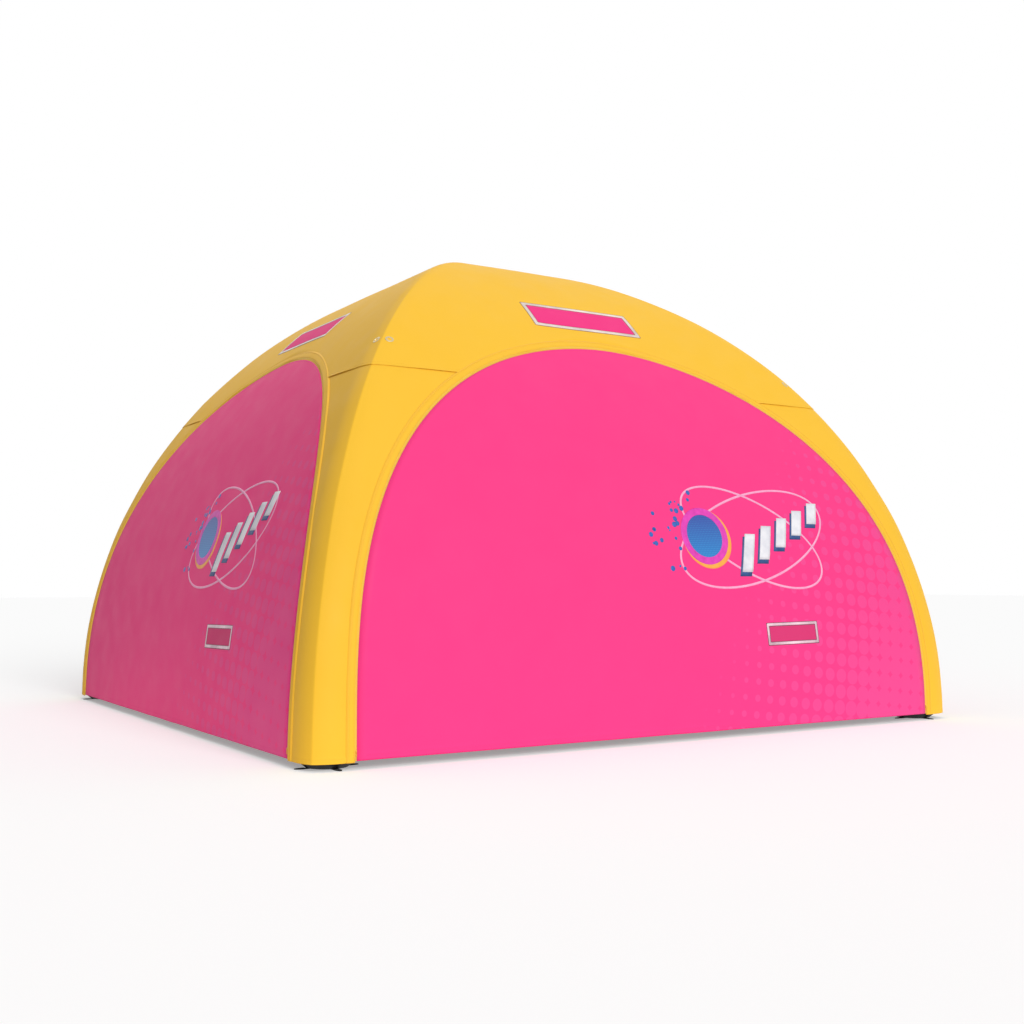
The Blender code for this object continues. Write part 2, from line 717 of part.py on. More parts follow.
def valve_caps():
    """Screw cap with a grip bar across its top."""
    low = SEAT_GAP + VALVE_FLANGE + SEAT_GAP
    bore = clear_of(VALVE_COLLAR_RADIUS, VALVE_STEPS)
    roof_low = VALVE_COLLAR_HEIGHT + CAP_HEAD_ROOM
    top = roof_low + CAP_TOP
    profile = [
        (0, roof_low),
        (bore, roof_low),
        (bore, low),
        (bore + CAP_WALL, low),
        (bore + CAP_WALL, top),
        (0, top),
    ]
    cap = turned("valve_cap", profile[::-1], VALVE_STEPS)
    shape = bmesh.new()
    size = Matrix.Diagonal((GRIP_LENGTH, GRIP_WIDTH, GRIP_HEIGHT + JOIN_LAP, 1))
    bmesh.ops.create_cube(shape, size=1, matrix=Matrix.Translation((0, 0, top + (GRIP_HEIGHT - JOIN_LAP) / 2)) @ size)
    boolean(cap, "UNION", add("cap_grip", mesh_from("cap_grip", shape), helper=True))
    corner_copies("valve_cap", evaluated_mesh(cap), VALVE_GREY, valve_place())


# Zip sliders


def slider_point(height, lift, hand):
    """Point over the front wall's zip at this height, on its left (-1) or right (1) side."""
    out, level, normal = face_curve(turn_at(height))
    across = arch_half_width(height) + SLIDER_SHIFT
    return Vector((hand * across, -out - lift * normal.x, level + lift * normal.y))


def slider_arc(hand):
    """Centre and axis of the circle through three points of the zip, up which the slider runs."""
    lifts = (SLIDER_LIFT, SLIDER_LIFT + SLIDER_EASE, SLIDER_LIFT + SLIDER_EASE)
    first, second, third = (slider_point(height, lift, hand) for height, lift in zip(SLIDER_HEIGHTS, lifts))
    to_second, to_third = second - first, third - first
    axis = to_second.cross(to_third)
    offset = (to_third.length_squared * axis.cross(to_second) + to_second.length_squared * to_third.cross(axis)) / (
        2 * axis.length_squared
    )
    return first + offset, axis.normalized(), first


def sliders():
    """Slider body with its pull hanging below. It stands on the zip, its Y axis up the zip and its Z axis outwards."""
    shape = bmesh.new()
    size = Matrix.Diagonal((SLIDER_WIDTH, SLIDER_LENGTH, SLIDER_THICKNESS, 1))
    bmesh.ops.create_cube(shape, size=1, matrix=Matrix.Translation((0, 0, SLIDER_THICKNESS / 2)) @ size)
    body = add("zip_slider", mesh_from("zip_slider", shape))
    shape = bmesh.new()
    size = Matrix.Diagonal((PULL_WIDTH, PULL_LENGTH, PULL_THICKNESS, 1))
    drop = (0, -PULL_LENGTH / 2, SLIDER_THICKNESS - PULL_THICKNESS / 2 - JOIN_LAP)
    bmesh.ops.create_cube(shape, size=1, matrix=Matrix.Translation(drop) @ size)
    boolean(body, "UNION", add("slider_pull", mesh_from("slider_pull", shape), helper=True))
    data = evaluated_mesh(body)
    for hand_name, hand in HANDS:
        centre, axis, place = slider_arc(hand)
        normal = face_curve(turn_at(SLIDER_HEIGHTS[0]))[2]
        upward = axis.cross(place - centre).normalized()
        across = upward.cross(Vector((0, -normal.x, normal.y))).normalized()
        frame = Matrix((across, upward, across.cross(upward))).transposed().to_4x4()
        frame.translation = place
        for index, side in enumerate(SIDES):
            pivot = bpy.data.objects.new(f"zip_arc_{side}_{hand_name}", None)
            tent.objects.link(pivot)
            pivot.matrix_world = quarter(index) @ Matrix.Translation(centre)
            slider = add(f"zip_slider_{side}_{hand_name}", data, SLIDER_PAINT)
            slider.parent = pivot
            slider.matrix_parent_inverse = pivot.matrix_world.inverted()
            slider.matrix_basis = quarter(index) @ frame


roof()
leg_covers()
bands()
zips()
walls()
air_beams()
crown_hub()
foot_cups()
peg_webbing()
eyelets()
valve_bodies()
valve_poppets()
valve_caps()
sliders()
for made in tent.objects:
    if made.type == "MESH":
        made.data.shade_smooth()
        made.data.set_sharp_from_angle(angle=math.radians(30))
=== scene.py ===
"""Looks of the inflatable tent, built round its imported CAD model.

Every cover lies on the vault of the CAD source, so the values that shape the vault are repeated here.
Metres, +Z up, and the front wall faces -Y. Each piece is made once, on the front side or at the front left corner,
and turned to the others.
"""

import json
import math
from functools import partial, partialmethod

import bmesh
import bpy
import numpy as np
from mathutils import Matrix, Vector


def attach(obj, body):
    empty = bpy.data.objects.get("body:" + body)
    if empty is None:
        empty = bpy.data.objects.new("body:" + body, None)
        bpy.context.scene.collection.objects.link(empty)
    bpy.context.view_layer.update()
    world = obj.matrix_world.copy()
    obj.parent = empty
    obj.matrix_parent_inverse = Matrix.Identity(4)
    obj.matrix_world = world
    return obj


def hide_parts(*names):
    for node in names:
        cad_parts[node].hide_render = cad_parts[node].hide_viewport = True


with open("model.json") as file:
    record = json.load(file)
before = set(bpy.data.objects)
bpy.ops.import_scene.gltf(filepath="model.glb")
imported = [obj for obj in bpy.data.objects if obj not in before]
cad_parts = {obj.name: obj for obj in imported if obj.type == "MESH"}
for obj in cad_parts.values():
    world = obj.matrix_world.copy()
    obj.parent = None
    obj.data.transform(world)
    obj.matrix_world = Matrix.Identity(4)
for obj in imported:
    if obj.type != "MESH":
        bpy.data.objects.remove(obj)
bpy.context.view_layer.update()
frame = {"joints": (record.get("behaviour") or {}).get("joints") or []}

# Vault, covers and arch, as in the CAD source
HALF_SPAN = 2.0275
VAULT_RISE = 2.772
SPAN_POWER = 1.859
RISE_POWER = 2.022
WALL_HEM = 0.037
LEG_HEM = 0.031
ROOF_HEM = 1.850
ROOF_LAP = 0.040
ROOF_FACE = 0.0024
LEG_RIDGE_RADIUS = 0.15
CROWN_RIDGE_RADIUS = 0.10
RIDGE_ROLL = 1.53
SOFTEN_FROM_TURN = 0.68
SOFTEN_TO_TURN = 1.22
ARCH_HALF_WIDTH = 1.807
ARCH_RISE = 2.060
ARCH_WIDTH_POWER = 1.89
ARCH_RISE_POWER = 2.663
ARCH_CROWDING = 1.2
EDGE_GAP = 0.0039
BAND_OUTER = 0.042
# How far the plates' dark ring, a painted shadow, reaches past the frame on each side.
PLATE_SHADOW_SPREAD = 0.0035
EYELET_HEIGHT = 1.984
EYELET_ANGLES = (63, 27)
BEAM_RADIUS = 0.150
BEAM_DEPTH = 0.1525
BEAM_FLOOR = 0.0056
HUB_REACH = 0.26

# Cloth, zip and print
SHEET = 0.0012
WALL_SHEET = 0.0008
FILM_SHEET = 0.0010
CUFF_SHEET = 0.0008
PLATE_SHEET = 0.0003
INK_SHEET = 0.0002
SHARP_EDGE = math.radians(38)
YARN_PITCH = 0.0013
TOOTH_PITCH = 0.0034
SLIDER_HEIGHT = 0.078
DOT_PITCH = 0.087
DOT_LEAN = math.radians(-7.5)
DISC_DOT_PITCH = 0.0105

SIDES = ("front", "right", "back", "left")
CORNERS = ("front_left", "front_right", "back_right", "back_left")
JOINTS = {joint["name"]: joint for joint in frame["joints"]}

# Camera of the photo
CAMERA_PLACE = (-4.0874, -6.9183, 0.7999)
CAMERA_YAW = math.radians(32.07)
CAMERA_PITCH = math.radians(3.21)
FOCAL_PIXELS = 1245.56
PHOTO_WIDTH = 1024
SENSOR_WIDTH = 36.0

# Floor and light
FLOOR_HALF = 60
FLOOR_WHITE = 0.85
FLOOR_GLOW = 0.31
POOL_CENTRE = (-0.3, -0.9, 0)
POOL_FADE = (2.4, 4.6, 0.95, 0.20)
SKY_FADE = (0.0, 1.0, 0.205, 0.69)
KEY_STRENGTH = 1.86
KEY_WAY = (-0.02, -0.90, 0.40)


def unit(vectors):
    return vectors / np.linalg.norm(vectors, axis=-1, keepdims=True)


def stacked(*parts):
    """Vectors with these coordinates, spread to a common shape."""
    return np.stack(np.broadcast_arrays(*parts), -1)


def quarter(index):
    return Matrix.Rotation(math.radians(90 * index), 4, "Z")


def facing(place, axis):
    """Stand at a place, with its Z along this axis."""
    return Matrix.Translation(place) @ axis.to_track_quat("Z", "Y").to_matrix().to_4x4()


def mm(points):
    """Points that are written in millimetres."""
    return [tuple(value / 1000 for value in point) for point in points]


def circle(steps):
    """Angles of evenly spaced points round a circle."""
    return np.linspace(0, 2 * math.pi, steps, endpoint=False)


def lengths(points):
    """Distance along a line at each of its points."""
    return np.concatenate([[0], np.cumsum(np.linalg.norm(np.diff(points, axis=0), axis=1))])


def sampled(places, along, values):
    """Values of a line at these distances along it."""
    return np.stack([np.interp(places, along, column) for column in values.T], -1)


# The vault


def vault(turn):
    """Distance out, height and normal (out, up) of a face, from turn 0 at the hem to a quarter turn at the crown."""
    turn = np.asarray(turn, float)
    out = HALF_SPAN * np.clip(np.cos(turn), 0, 1) ** (2 / SPAN_POWER)
    rise = VAULT_RISE * np.clip(np.sin(turn), 0, 1) ** (2 / RISE_POWER)
    nx = SPAN_POWER * (out / HALF_SPAN) ** (SPAN_POWER - 1) / HALF_SPAN
    nz = RISE_POWER * (rise / VAULT_RISE) ** (RISE_POWER - 1) / VAULT_RISE
    size = np.hypot(nx, nz)
    return out, WALL_HEM + rise, nx / size, nz / size


def turn_at(height):
    share = np.clip((np.asarray(height, float) - WALL_HEM) / VAULT_RISE, 0, 1)
    return np.arcsin(share ** (RISE_POWER / 2))


TURN_TABLE = np.concatenate([np.linspace(0, 0.2, 400) ** 2 * 5, np.linspace(0.2, math.pi / 2, 1200)[1:]])
TABLE_OUT, TABLE_HEIGHT, _, _ = vault(TURN_TABLE)
ARC_TABLE = lengths(stacked(TABLE_OUT, TABLE_HEIGHT))


def turn_of_arc(arc):
    return np.interp(arc, ARC_TABLE, TURN_TABLE)


def arc_of_turn(turn):
    return np.interp(turn, TURN_TABLE, ARC_TABLE)


def face(across, turn, lift=0.0, drop=0.0):
    """Points of the front face, and their normals."""
    out, height, nx, nz = vault(turn)
    points = stacked(across, -out - lift * nx, height + lift * nz - drop)
    return points, np.broadcast_to(stacked(0, -nx, nz), points.shape)


def smooth(share):
    share = np.clip(share, 0, 1)
    return share * share * (3 - 2 * share)


def softness(turn):
    """0 where the ridge is creased, 1 where it is round."""
    return smooth((turn - SOFTEN_FROM_TURN) / (SOFTEN_TO_TURN - SOFTEN_FROM_TURN))


def ridge_radius(turn):
    return LEG_RIDGE_RADIUS + (CROWN_RIDGE_RADIUS - LEG_RIDGE_RADIUS) * softness(turn)


def ridge(turn, angle):
    """Points round the front left ridge, at angle 0 on the left face and a quarter turn on the front face."""
    out, height, nx, nz = vault(turn)
    radius = ridge_radius(turn)
    fold = np.minimum(angle, math.pi / 2 - angle)
    shift = RIDGE_ROLL - 1
    creased = np.sqrt(RIDGE_ROLL**2 - (shift * np.sin(fold)) ** 2) - shift * np.cos(fold)
    reach = radius * (creased + (1 - creased) * softness(turn))
    inset, low = out - radius * nx, height - radius * nz
    centre = stacked(-inset, -inset, low, reach)[..., :3]
    cos, sin = np.cos(angle), np.sin(angle)
    normal = unit(stacked(-nx * cos, -nx * sin, nz * (cos + sin)))
    return centre + reach[..., None] * normal, normal


def ridge_inset(turn):
    out, _, nx, _ = vault(turn)
    return out - ridge_radius(turn) * nx


def swapped(vectors):
    """The same on the left face: a mirror image across the front left ridge."""
    return vectors[..., [1, 0, 2]]


def ripple(points, size, seed):
    """Soft random field of -1 to 1, with waves about this long."""
    draw = np.random.default_rng(seed)
    total = np.zeros(points.shape[:-1])
    waves = 9
    for _ in range(waves):
        direction = unit(draw.normal(size=3)) * 2 * math.pi / (size * draw.uniform(0.7, 1.5))
        total += np.sin(points @ direction + draw.uniform(0, 2 * math.pi))
    return total / math.sqrt(waves)


# The arch of a side


def arch_outline(offset, steps=110):
    """Points (across, height) from the arch's left foot over its top to its right foot, moved outwards by offset."""
    angle = math.pi / 2 * (np.arange(steps + 1) / steps) ** ARCH_CROWDING
    across = np.clip(np.cos(angle), 0, 1) ** (2 / ARCH_WIDTH_POWER)
    across[-1] = 0
    up = np.sin(angle) ** (2 / ARCH_RISE_POWER)
    slope_across = ARCH_WIDTH_POWER * across ** (ARCH_WIDTH_POWER - 1) / ARCH_HALF_WIDTH
    slope_up = ARCH_RISE_POWER * up ** (ARCH_RISE_POWER - 1) / ARCH_RISE
    right = stacked(across * ARCH_HALF_WIDTH, WALL_HEM + up * ARCH_RISE)
    right += offset * unit(stacked(slope_across, slope_up))
    return np.concatenate([right * (-1, 1), right[-2::-1]])


def half_outline(offset, steps=300):
    """The arch's right half, from its foot up."""
    outline = arch_outline(offset, steps)
    return outline[len(outline) // 2 :][::-1]


def arch_half_width(height, offset):
    across, heights = half_outline(offset).T
    return np.interp(height, heights, across)


def arch_line(offset, lift):
    """Line along the arch, on the front face, and its normals."""
    across, height = arch_outline(offset, 160).T
    return face(across, turn_at(height), lift)


def arch_sweep(profile, foot=None):
    """Grid of points over the front face: a profile of (offset, lift) points carried along the arch."""
    columns = []
    for offset, lift in profile:
        line = arch_outline(offset)
        if foot is not None:
            line = np.concatenate([[(line[0, 0], foot)], line, [(line[-1, 0], foot)]])
        drop = np.clip(WALL_HEM - line[:, 1], 0, None)
        columns.append(face(line[:, 0], turn_at(line[:, 1]), lift, drop)[0])
    return np.stack(columns, 1)


# Meshes


def mesh_of(points, cloth=None, loop=False, ends=False):
    """Smooth mesh over a grid of points, whose rows go up and whose columns go right, seen from outside.

    A loop joins its last column to its first, and ends closes its first and last rows.
    """
    rows, columns = points.shape[:2]
    index = np.arange(rows * columns).reshape(rows, columns)
    left, right = (index, np.roll(index, -1, 1)) if loop else (index[:, :-1], index[:, 1:])
    faces = stacked(left[:-1], right[:-1], right[1:], left[1:]).reshape(-1, 4).tolist()
    if ends:
        faces += [index[0, ::-1].tolist(), index[-1].tolist()]
    data = bpy.data.meshes.new("mesh")
    data.from_pydata(points.reshape(-1, 3).tolist(), [], faces)
    if cloth is None:
        cloth = stacked(*np.meshgrid(range(columns), range(rows))) * 0.01
    flat = np.asarray(cloth, np.float32).reshape(-1, 2)[np.concatenate(faces)]
    data.uv_layers.new(name="cloth").data.foreach_set("uv", flat.ravel())
    return welded(data)


def reshaped(data, parts, change):
    """Puts these parts, after a change to them, into a mesh."""
    shape = bmesh.new()
    for part in parts:
        shape.from_mesh(part)
    if change:
        change(shape)
    shape.to_mesh(data)
    shape.free()
    return data


def welded(data, distance=0.00002):
    """The same mesh, smooth and without double points."""

    def weld(shape):
        bmesh.ops.remove_doubles(shape, verts=shape.verts, dist=distance)
        bmesh.ops.dissolve_degenerate(shape, edges=shape.edges, dist=distance)
        for polygon in shape.faces:
            polygon.smooth = True

    return reshaped(data, [data], weld)


def outward(data):
    """The same mesh, with its faces turned outwards."""
    return reshaped(data, [data], lambda shape: bmesh.ops.recalc_face_normals(shape, faces=shape.faces))


def joined(parts, change=None):
    return reshaped(bpy.data.meshes.new("mesh"), parts, change)


def copy_of(data, matrix):
    made = data.copy()
    made.transform(matrix)
    return made


def placed(name, data):
    made = bpy.data.objects.new(name, data)
    bpy.context.scene.collection.objects.link(made)
    return made


def dress(name, data, finish, body, slot, *replaced):
    """Object with this mesh, riding on its body, with its finish and the CAD nodes that it stands for."""
    made = placed(name, data)
    data.name = name
    data.materials.clear()
    data.materials.append(finish)
    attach(made, body)
    if replaced:
        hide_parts(*replaced)
    return made


def repeated(places, name, data, finish, slot, replaced=None, body="root"):
    """A copy of the piece at every place round the tent, whose name fills the gap in these names."""
    made = []
    for index, place in enumerate(places):
        nodes = [replaced.format(place)] if replaced else []
        turned = copy_of(data, quarter(index))
        made.append(dress(name.format(place), turned, finish, body.format(place), slot, *nodes))
    return made


on_sides = partial(repeated, SIDES)
on_corners = partial(repeated, CORNERS)


def thicken(pieces, thickness):
    """Gives thin pieces a thickness, behind the side that is seen."""
    for piece in pieces:
        step = piece.modifiers.new("cloth", "SOLIDIFY")
        step.thickness = thickness
        step.offset = -1
    return pieces


def scattered(corners, pattern):
    """Mesh of many small forms, from the corners of each and the faces of one."""
    count = corners.shape[1]
    faces = [tuple(count * k + corner for corner in item) for k in range(len(corners)) for item in pattern]
    data = bpy.data.meshes.new("mesh")
    data.from_pydata(corners.reshape(-1, 3).tolist(), [], faces)
    data.uv_layers.new(name="cloth")
    return data


def stitches(points, normals, pitch=0.0065, width=0.0012, height=0.0005):
    """A row of sewn stitches along a line on a surface."""
    along = lengths(points)
    starts = np.arange(pitch / 2, along[-1] - pitch, pitch)
    begin, end = sampled(starts, along, points), sampled(starts + 0.72 * pitch, along, points)
    run, up = end - begin, unit(sampled(starts, along, normals))
    middle, side = begin + run / 2, np.cross(up, unit(run)) * width / 2
    low, high = (begin + share * run + up * height for share in (0.25, 0.75))
    corners = np.stack([begin, middle + side, middle - side, low, high, end], 1)
    pattern = [(0, 2, 3), (3, 2, 4), (4, 2, 5), (5, 1, 4), (4, 1, 3), (3, 1, 0), (0, 1, 5, 2)]
    return scattered(corners, pattern)


def revolved(profile, place, steps=56):
    """Mesh of an outline of (radius, height) points turned about the Z axis of a place."""
    radii, heights = np.array(profile, float).T[..., None]
    angle = circle(steps)
    data = mesh_of(stacked(radii * np.cos(angle), radii * np.sin(angle), heights), loop=True)
    data.transform(place)
    outward(data).set_sharp_from_angle(angle=SHARP_EDGE)
    return data


# Materials


def linear(colour):
    return tuple(((v / 255 + 0.055) / 1.055) ** 2.4 if v > 10 else v / 3295 for v in colour)


class Nodes:
    """A node tree under construction."""

    def __init__(self, tree):
        self.tree = tree

    def node(self, kind, inputs=(), **settings):
        """A new node. Its inputs take values or sockets, in a row or by key."""
        made = self.tree.nodes.new("ShaderNode" + kind)
        for key, value in settings.items():
            setattr(made, key, value)
        for key, value in inputs.items() if isinstance(inputs, dict) else enumerate(inputs):
            self.link(value, made.inputs[key])
        return made

    def link(self, value, socket):
        if isinstance(value, bpy.types.NodeSocket):
            self.tree.links.new(value, socket)
        else:
            socket.default_value = value

    def math(self, operation, *values):
        return self.node("Math", values, operation=operation).outputs[0]

    plus = partialmethod(math, "ADD")
    minus = partialmethod(math, "SUBTRACT")
    times = partialmethod(math, "MULTIPLY")

    def ranged(self, value, low, high, to_low=0.0, to_high=1.0):
        return self.node("MapRange", (value, low, high, to_low, to_high)).outputs[0]

    def background(self):
        """1 for a ray that shows the background: from the camera, or off a glossy surface."""
        rays = self.node("LightPath").outputs
        return self.math("MAXIMUM", rays["Is Camera Ray"], rays["Is Glossy Ray"])


class Finish(Nodes):
    """A Principled material under construction."""

    def __init__(self, name, roughness, metallic=0.0, specular=0.4, sheen=0.0):
        self.material = bpy.data.materials.new(name)
        self.material.use_nodes = True
        super().__init__(self.material.node_tree)
        self.shader = self.tree.nodes["Principled BSDF"].inputs
        values = {"Roughness": roughness, "Metallic": metallic, "Specular IOR Level": specular, "Sheen Weight": sheen}
        for key, value in values.items():
            self.shader[key].default_value = value

    def cloth(self):
        """Flat coordinates of the cloth, in metres."""
        return self.node("SeparateXYZ", [self.node("UVMap", uv_map="cloth").outputs[0]]).outputs[:2]

    def noise(self, scale, detail, rough=0.5):
        spot = self.node("TexCoord").outputs["Object"]
        inputs = {"Vector": spot, "Scale": scale, "Detail": detail, "Roughness": rough}
        return self.node("TexNoise", inputs).outputs["Fac"]

    def mixed(self, share, *colours):
        first, second = (item if isinstance(item, bpy.types.NodeSocket) else (*linear(item), 1) for item in colours)
        return self.node("Mix", {0: share, 6: first, 7: second}, data_type="RGBA").outputs[2]

    def colour(self, value):
        self.link(value, self.shader["Base Color"])

    def rough(self, value):
        self.link(value, self.shader["Roughness"])

    def bump(self, height, distance, strength):
        inputs = {"Strength": strength, "Distance": distance, "Height": height}
        if self.shader["Normal"].links:
            inputs["Normal"] = self.shader["Normal"].links[0].from_socket
        self.link(self.node("Bump", inputs).outputs[0], self.shader["Normal"])


def weave(finish):
    """Plain weave: yarns that rise over and dip under each other. Returns its height, 0 to 1."""
    waves = [finish.math("SINE", finish.times(axis, math.pi / YARN_PITCH)) for axis in finish.cloth()]
    height = finish.ranged(finish.times(*waves), -1.0, 1.0)
    finish.bump(height, 0.00008, 0.6)
    return height


def coated_cloth(name, colour, shade, roughness=0.62):
    """Coated polyester: a fine weave, a faint mottle in colour and gloss, and soft handling creases."""
    finish = Finish(name, roughness, specular=0.24, sheen=0.06)
    yarn = weave(finish)
    mottle = finish.ranged(finish.noise(2.3, 4.0, 0.6), 0.3, 0.7)
    base = finish.mixed(finish.times(mottle, 0.25), colour, shade)
    # The weave's low points are mixed up to 16% towards the shade colour: painted shade in the dips between yarns, on
    # top of the mottle.
    finish.colour(finish.mixed(finish.times(finish.minus(1.0, yarn), 0.16), base, shade))
    finish.rough(finish.ranged(finish.noise(7.0, 3.0), 0.3, 0.7, roughness - 0.06, roughness + 0.06))
    finish.bump(finish.noise(5.0, 3.0, 0.55), 0.0012, 0.5)
    return finish


def halftone(finish, radius, edge, pitch, lean=0.0):
    """1 inside a dot of this radius in each cell of a leaning grid, and 0 outside. Radius and soft edge in cells."""
    u, v = finish.cloth()
    squares = []
    for across, up in ((math.cos(lean), math.sin(lean)), (-math.sin(lean), math.cos(lean))):
        turned = finish.plus(finish.times(u, across / pitch), finish.times(v, up / pitch))
        cell = finish.minus(finish.math("FRACT", turned), 0.5)
        squares.append(finish.times(cell, cell))
    away = finish.math("SQRT", finish.plus(*squares))
    return finish.ranged(finish.minus(radius, away), -edge, edge)


YELLOW = (255, 200, 52)
YELLOW_SHADE = (249, 191, 44)
PINK = (255, 60, 139)
PINK_SHADE = (250, 54, 133)
PALE_PINK = (248, 73, 148)

cover_cloth = coated_cloth("cover_cloth", YELLOW, YELLOW_SHADE).material
binding_cloth = coated_cloth("binding_cloth", (254, 197, 58), (246, 186, 48), 0.58).material


def printed_cloth():
    """Pink cloth with a halftone print, whose paler dots grow towards the lower right."""
    finish = coated_cloth("wall_cloth", PINK, PINK_SHADE)
    u, v = finish.cloth()
    fade = finish.minus(finish.minus(u, finish.times(v, 0.58)), 0.04)
    radius = finish.math("MINIMUM", finish.ranged(fade, 0.0, 1.8, 0.075, 0.75), 0.57)
    dots = halftone(finish, radius, 0.015, DOT_PITCH, DOT_LEAN)
    seen = finish.times(dots, finish.ranged(fade, -0.02, 0.25))
    base = finish.shader["Base Color"].links[0].from_socket
    finish.colour(finish.mixed(seen, base, PALE_PINK))
    return finish.material


wall_cloth = printed_cloth()


def plain(name, colour, shade, roughness, scale, metallic=0.0, specular=0.45, grain=0.0002):
    """Smooth or grained stuff whose colour and gloss vary a little."""
    finish = Finish(name, roughness, metallic, specular)
    cloud = finish.noise(scale, 4.0, 0.6)
    finish.colour(finish.mixed(finish.ranged(cloud, 0.35, 0.7), colour, shade))
    finish.rough(finish.ranged(finish.noise(scale / 4, 3.0), 0.3, 0.7, roughness - 0.07, roughness + 0.07))
    finish.bump(finish.noise(scale * 8, 2.0), grain, 0.5)
    return finish.material


def ribbed(name, colour, shade, pitch, roughness=0.75):
    """Woven tape, with cords across it and a herringbone of yarns."""
    finish = Finish(name, roughness, specular=0.3, sheen=0.15)
    u, v = finish.cloth()
    cord = finish.ranged(finish.math("SINE", finish.times(v, 2 * math.pi / pitch)), -1.0, 1.0)
    slant = finish.math("SINE", finish.times(finish.plus(u, finish.times(v, 0.5)), 4 * math.pi / pitch))
    # Between the cords the colour is mixed towards the shade colour: painted shade in the grooves of the tape.
    finish.colour(finish.mixed(cord, shade, colour))
    finish.bump(finish.plus(cord, finish.times(slant, 0.3)), 0.0003, 0.8)
    return finish.material


cover_thread = ribbed("cover_thread", (244, 186, 54), (226, 166, 42), 0.0008)
wall_thread = ribbed("wall_thread", (248, 60, 134), (232, 50, 122), 0.0008)
# The zip's tape and teeth are a lighter yellow than the cover cloth: painted light that brightens the shaded groove
# between the wall and the flap.
zip_tape = ribbed("zip_tape_weave", (255, 212, 84), (250, 202, 70), 0.0016)
zip_coil = plain("zip_coil", (255, 212, 90), (248, 202, 76), 0.42, 300.0)
enamel = plain("slider_enamel", (244, 188, 56), (230, 172, 46), 0.32, 200.0, specular=0.6)
film = plain("bladder_film", (226, 226, 222), (208, 209, 208), 0.38, 9.0, grain=0.0006)
film_band = plain("bladder_weld", (206, 207, 206), (190, 192, 192), 0.3, 14.0)
vinyl = plain("foot_vinyl", (26, 26, 28), (38, 38, 40), 0.55, 90.0)
strap = ribbed("peg_strap", (26, 26, 28), (12, 12, 14), 0.0024, 0.8)
strap_thread = ribbed("strap_thread", (58, 58, 62), (40, 40, 44), 0.0009)
nickel = plain("nickel", (222, 204, 160), (202, 184, 140), 0.42, 400.0, metallic=1.0)
valve_black = plain("valve_black", (30, 30, 32), (42, 42, 44), 0.42, 220.0)
valve_grey = plain("valve_grey", (62, 63, 66), (76, 77, 80), 0.45, 220.0)
valve_red = plain("valve_red", (188, 40, 36), (206, 54, 46), 0.36, 220.0)
# Each plate has a printed field, a dark ring and a silver frame. The dark ring is a painted shadow round the frame.
WALL_PLATE = (
    coated_cloth("wall_plate_field", (222, 56, 120), (196, 46, 100), 0.66).material,
    plain("wall_plate_edge", (150, 72, 100), (128, 58, 84), 0.5, 40.0),
    plain("wall_plate_frame", (255, 226, 236), (186, 156, 170), 0.34, 5.0, metallic=0.15),
)
ROOF_PLATE = (
    coated_cloth("roof_plate_field", (250, 52, 136), (238, 46, 126), 0.72).material,
    plain("roof_plate_painted_shadow", (170, 112, 96), (146, 92, 82), 0.6, 40.0),
    plain("roof_plate_frame", (252, 240, 230), (206, 192, 186), 0.4, 5.0, metallic=0.1),
)


def disc_print():
    """Blue disc, lighter towards its top, with a fine halftone."""
    finish = Finish("disc_print", 0.4)
    _, v = finish.cloth()
    base = finish.mixed(finish.ranged(v, 0.86, 1.16), (34, 132, 206), (52, 70, 160))
    radius = finish.ranged(v, 0.86, 1.16, 0.36, 0.12)
    dots = halftone(finish, radius, 0.03, DISC_DOT_PITCH)
    finish.colour(finish.mixed(finish.times(dots, 0.4), base, (70, 178, 228)))
    return finish.material


INKS = {
    "loops": plain("pale_print", (255, 178, 214), (252, 160, 202), 0.5, 30.0),
    "shade": plain("shade_print", (44, 86, 144), (34, 62, 112), 0.5, 24.0),
    "blocks": plain("white_print", (244, 244, 248), (214, 216, 226), 0.45, 10.0),
    "orange": plain("orange_print", (255, 178, 74), (250, 156, 58), 0.45, 24.0),
    "magenta": plain("magenta_print", (236, 66, 190), (214, 48, 170), 0.45, 24.0),
    "disc": disc_print(),
    "dots": plain("blue_print", (46, 110, 196), (36, 88, 170), 0.4, 12.0),
}

# Roof and leg covers

FACE_COLUMNS = 16
HALF_RIDGE = np.array([6, 12, 18, 24, 30, 35, 39, 41.5, 43.2, 44.3])
RIDGE_ANGLES = np.radians(np.concatenate([HALF_RIDGE, 90 - HALF_RIDGE[::-1]]))


def level_turns(turn):
    """Turns at which each column of the ridge is as high as the faces are at this turn."""
    steps = np.linspace(0, 0.09, 40)
    _, height, _, _ = vault(turn)
    turns = np.repeat(turn[:, None], len(RIDGE_ANGLES), 1)
    for column, angle in enumerate(RIDGE_ANGLES):
        rise = ridge(turn[:, None] - steps[None, :], np.full((len(turn), len(steps)), angle))[0][..., 2]
        turns[:, column] -= [np.interp(wanted, row[::-1], steps[::-1]) for wanted, row in zip(height, rise)]
    return turns


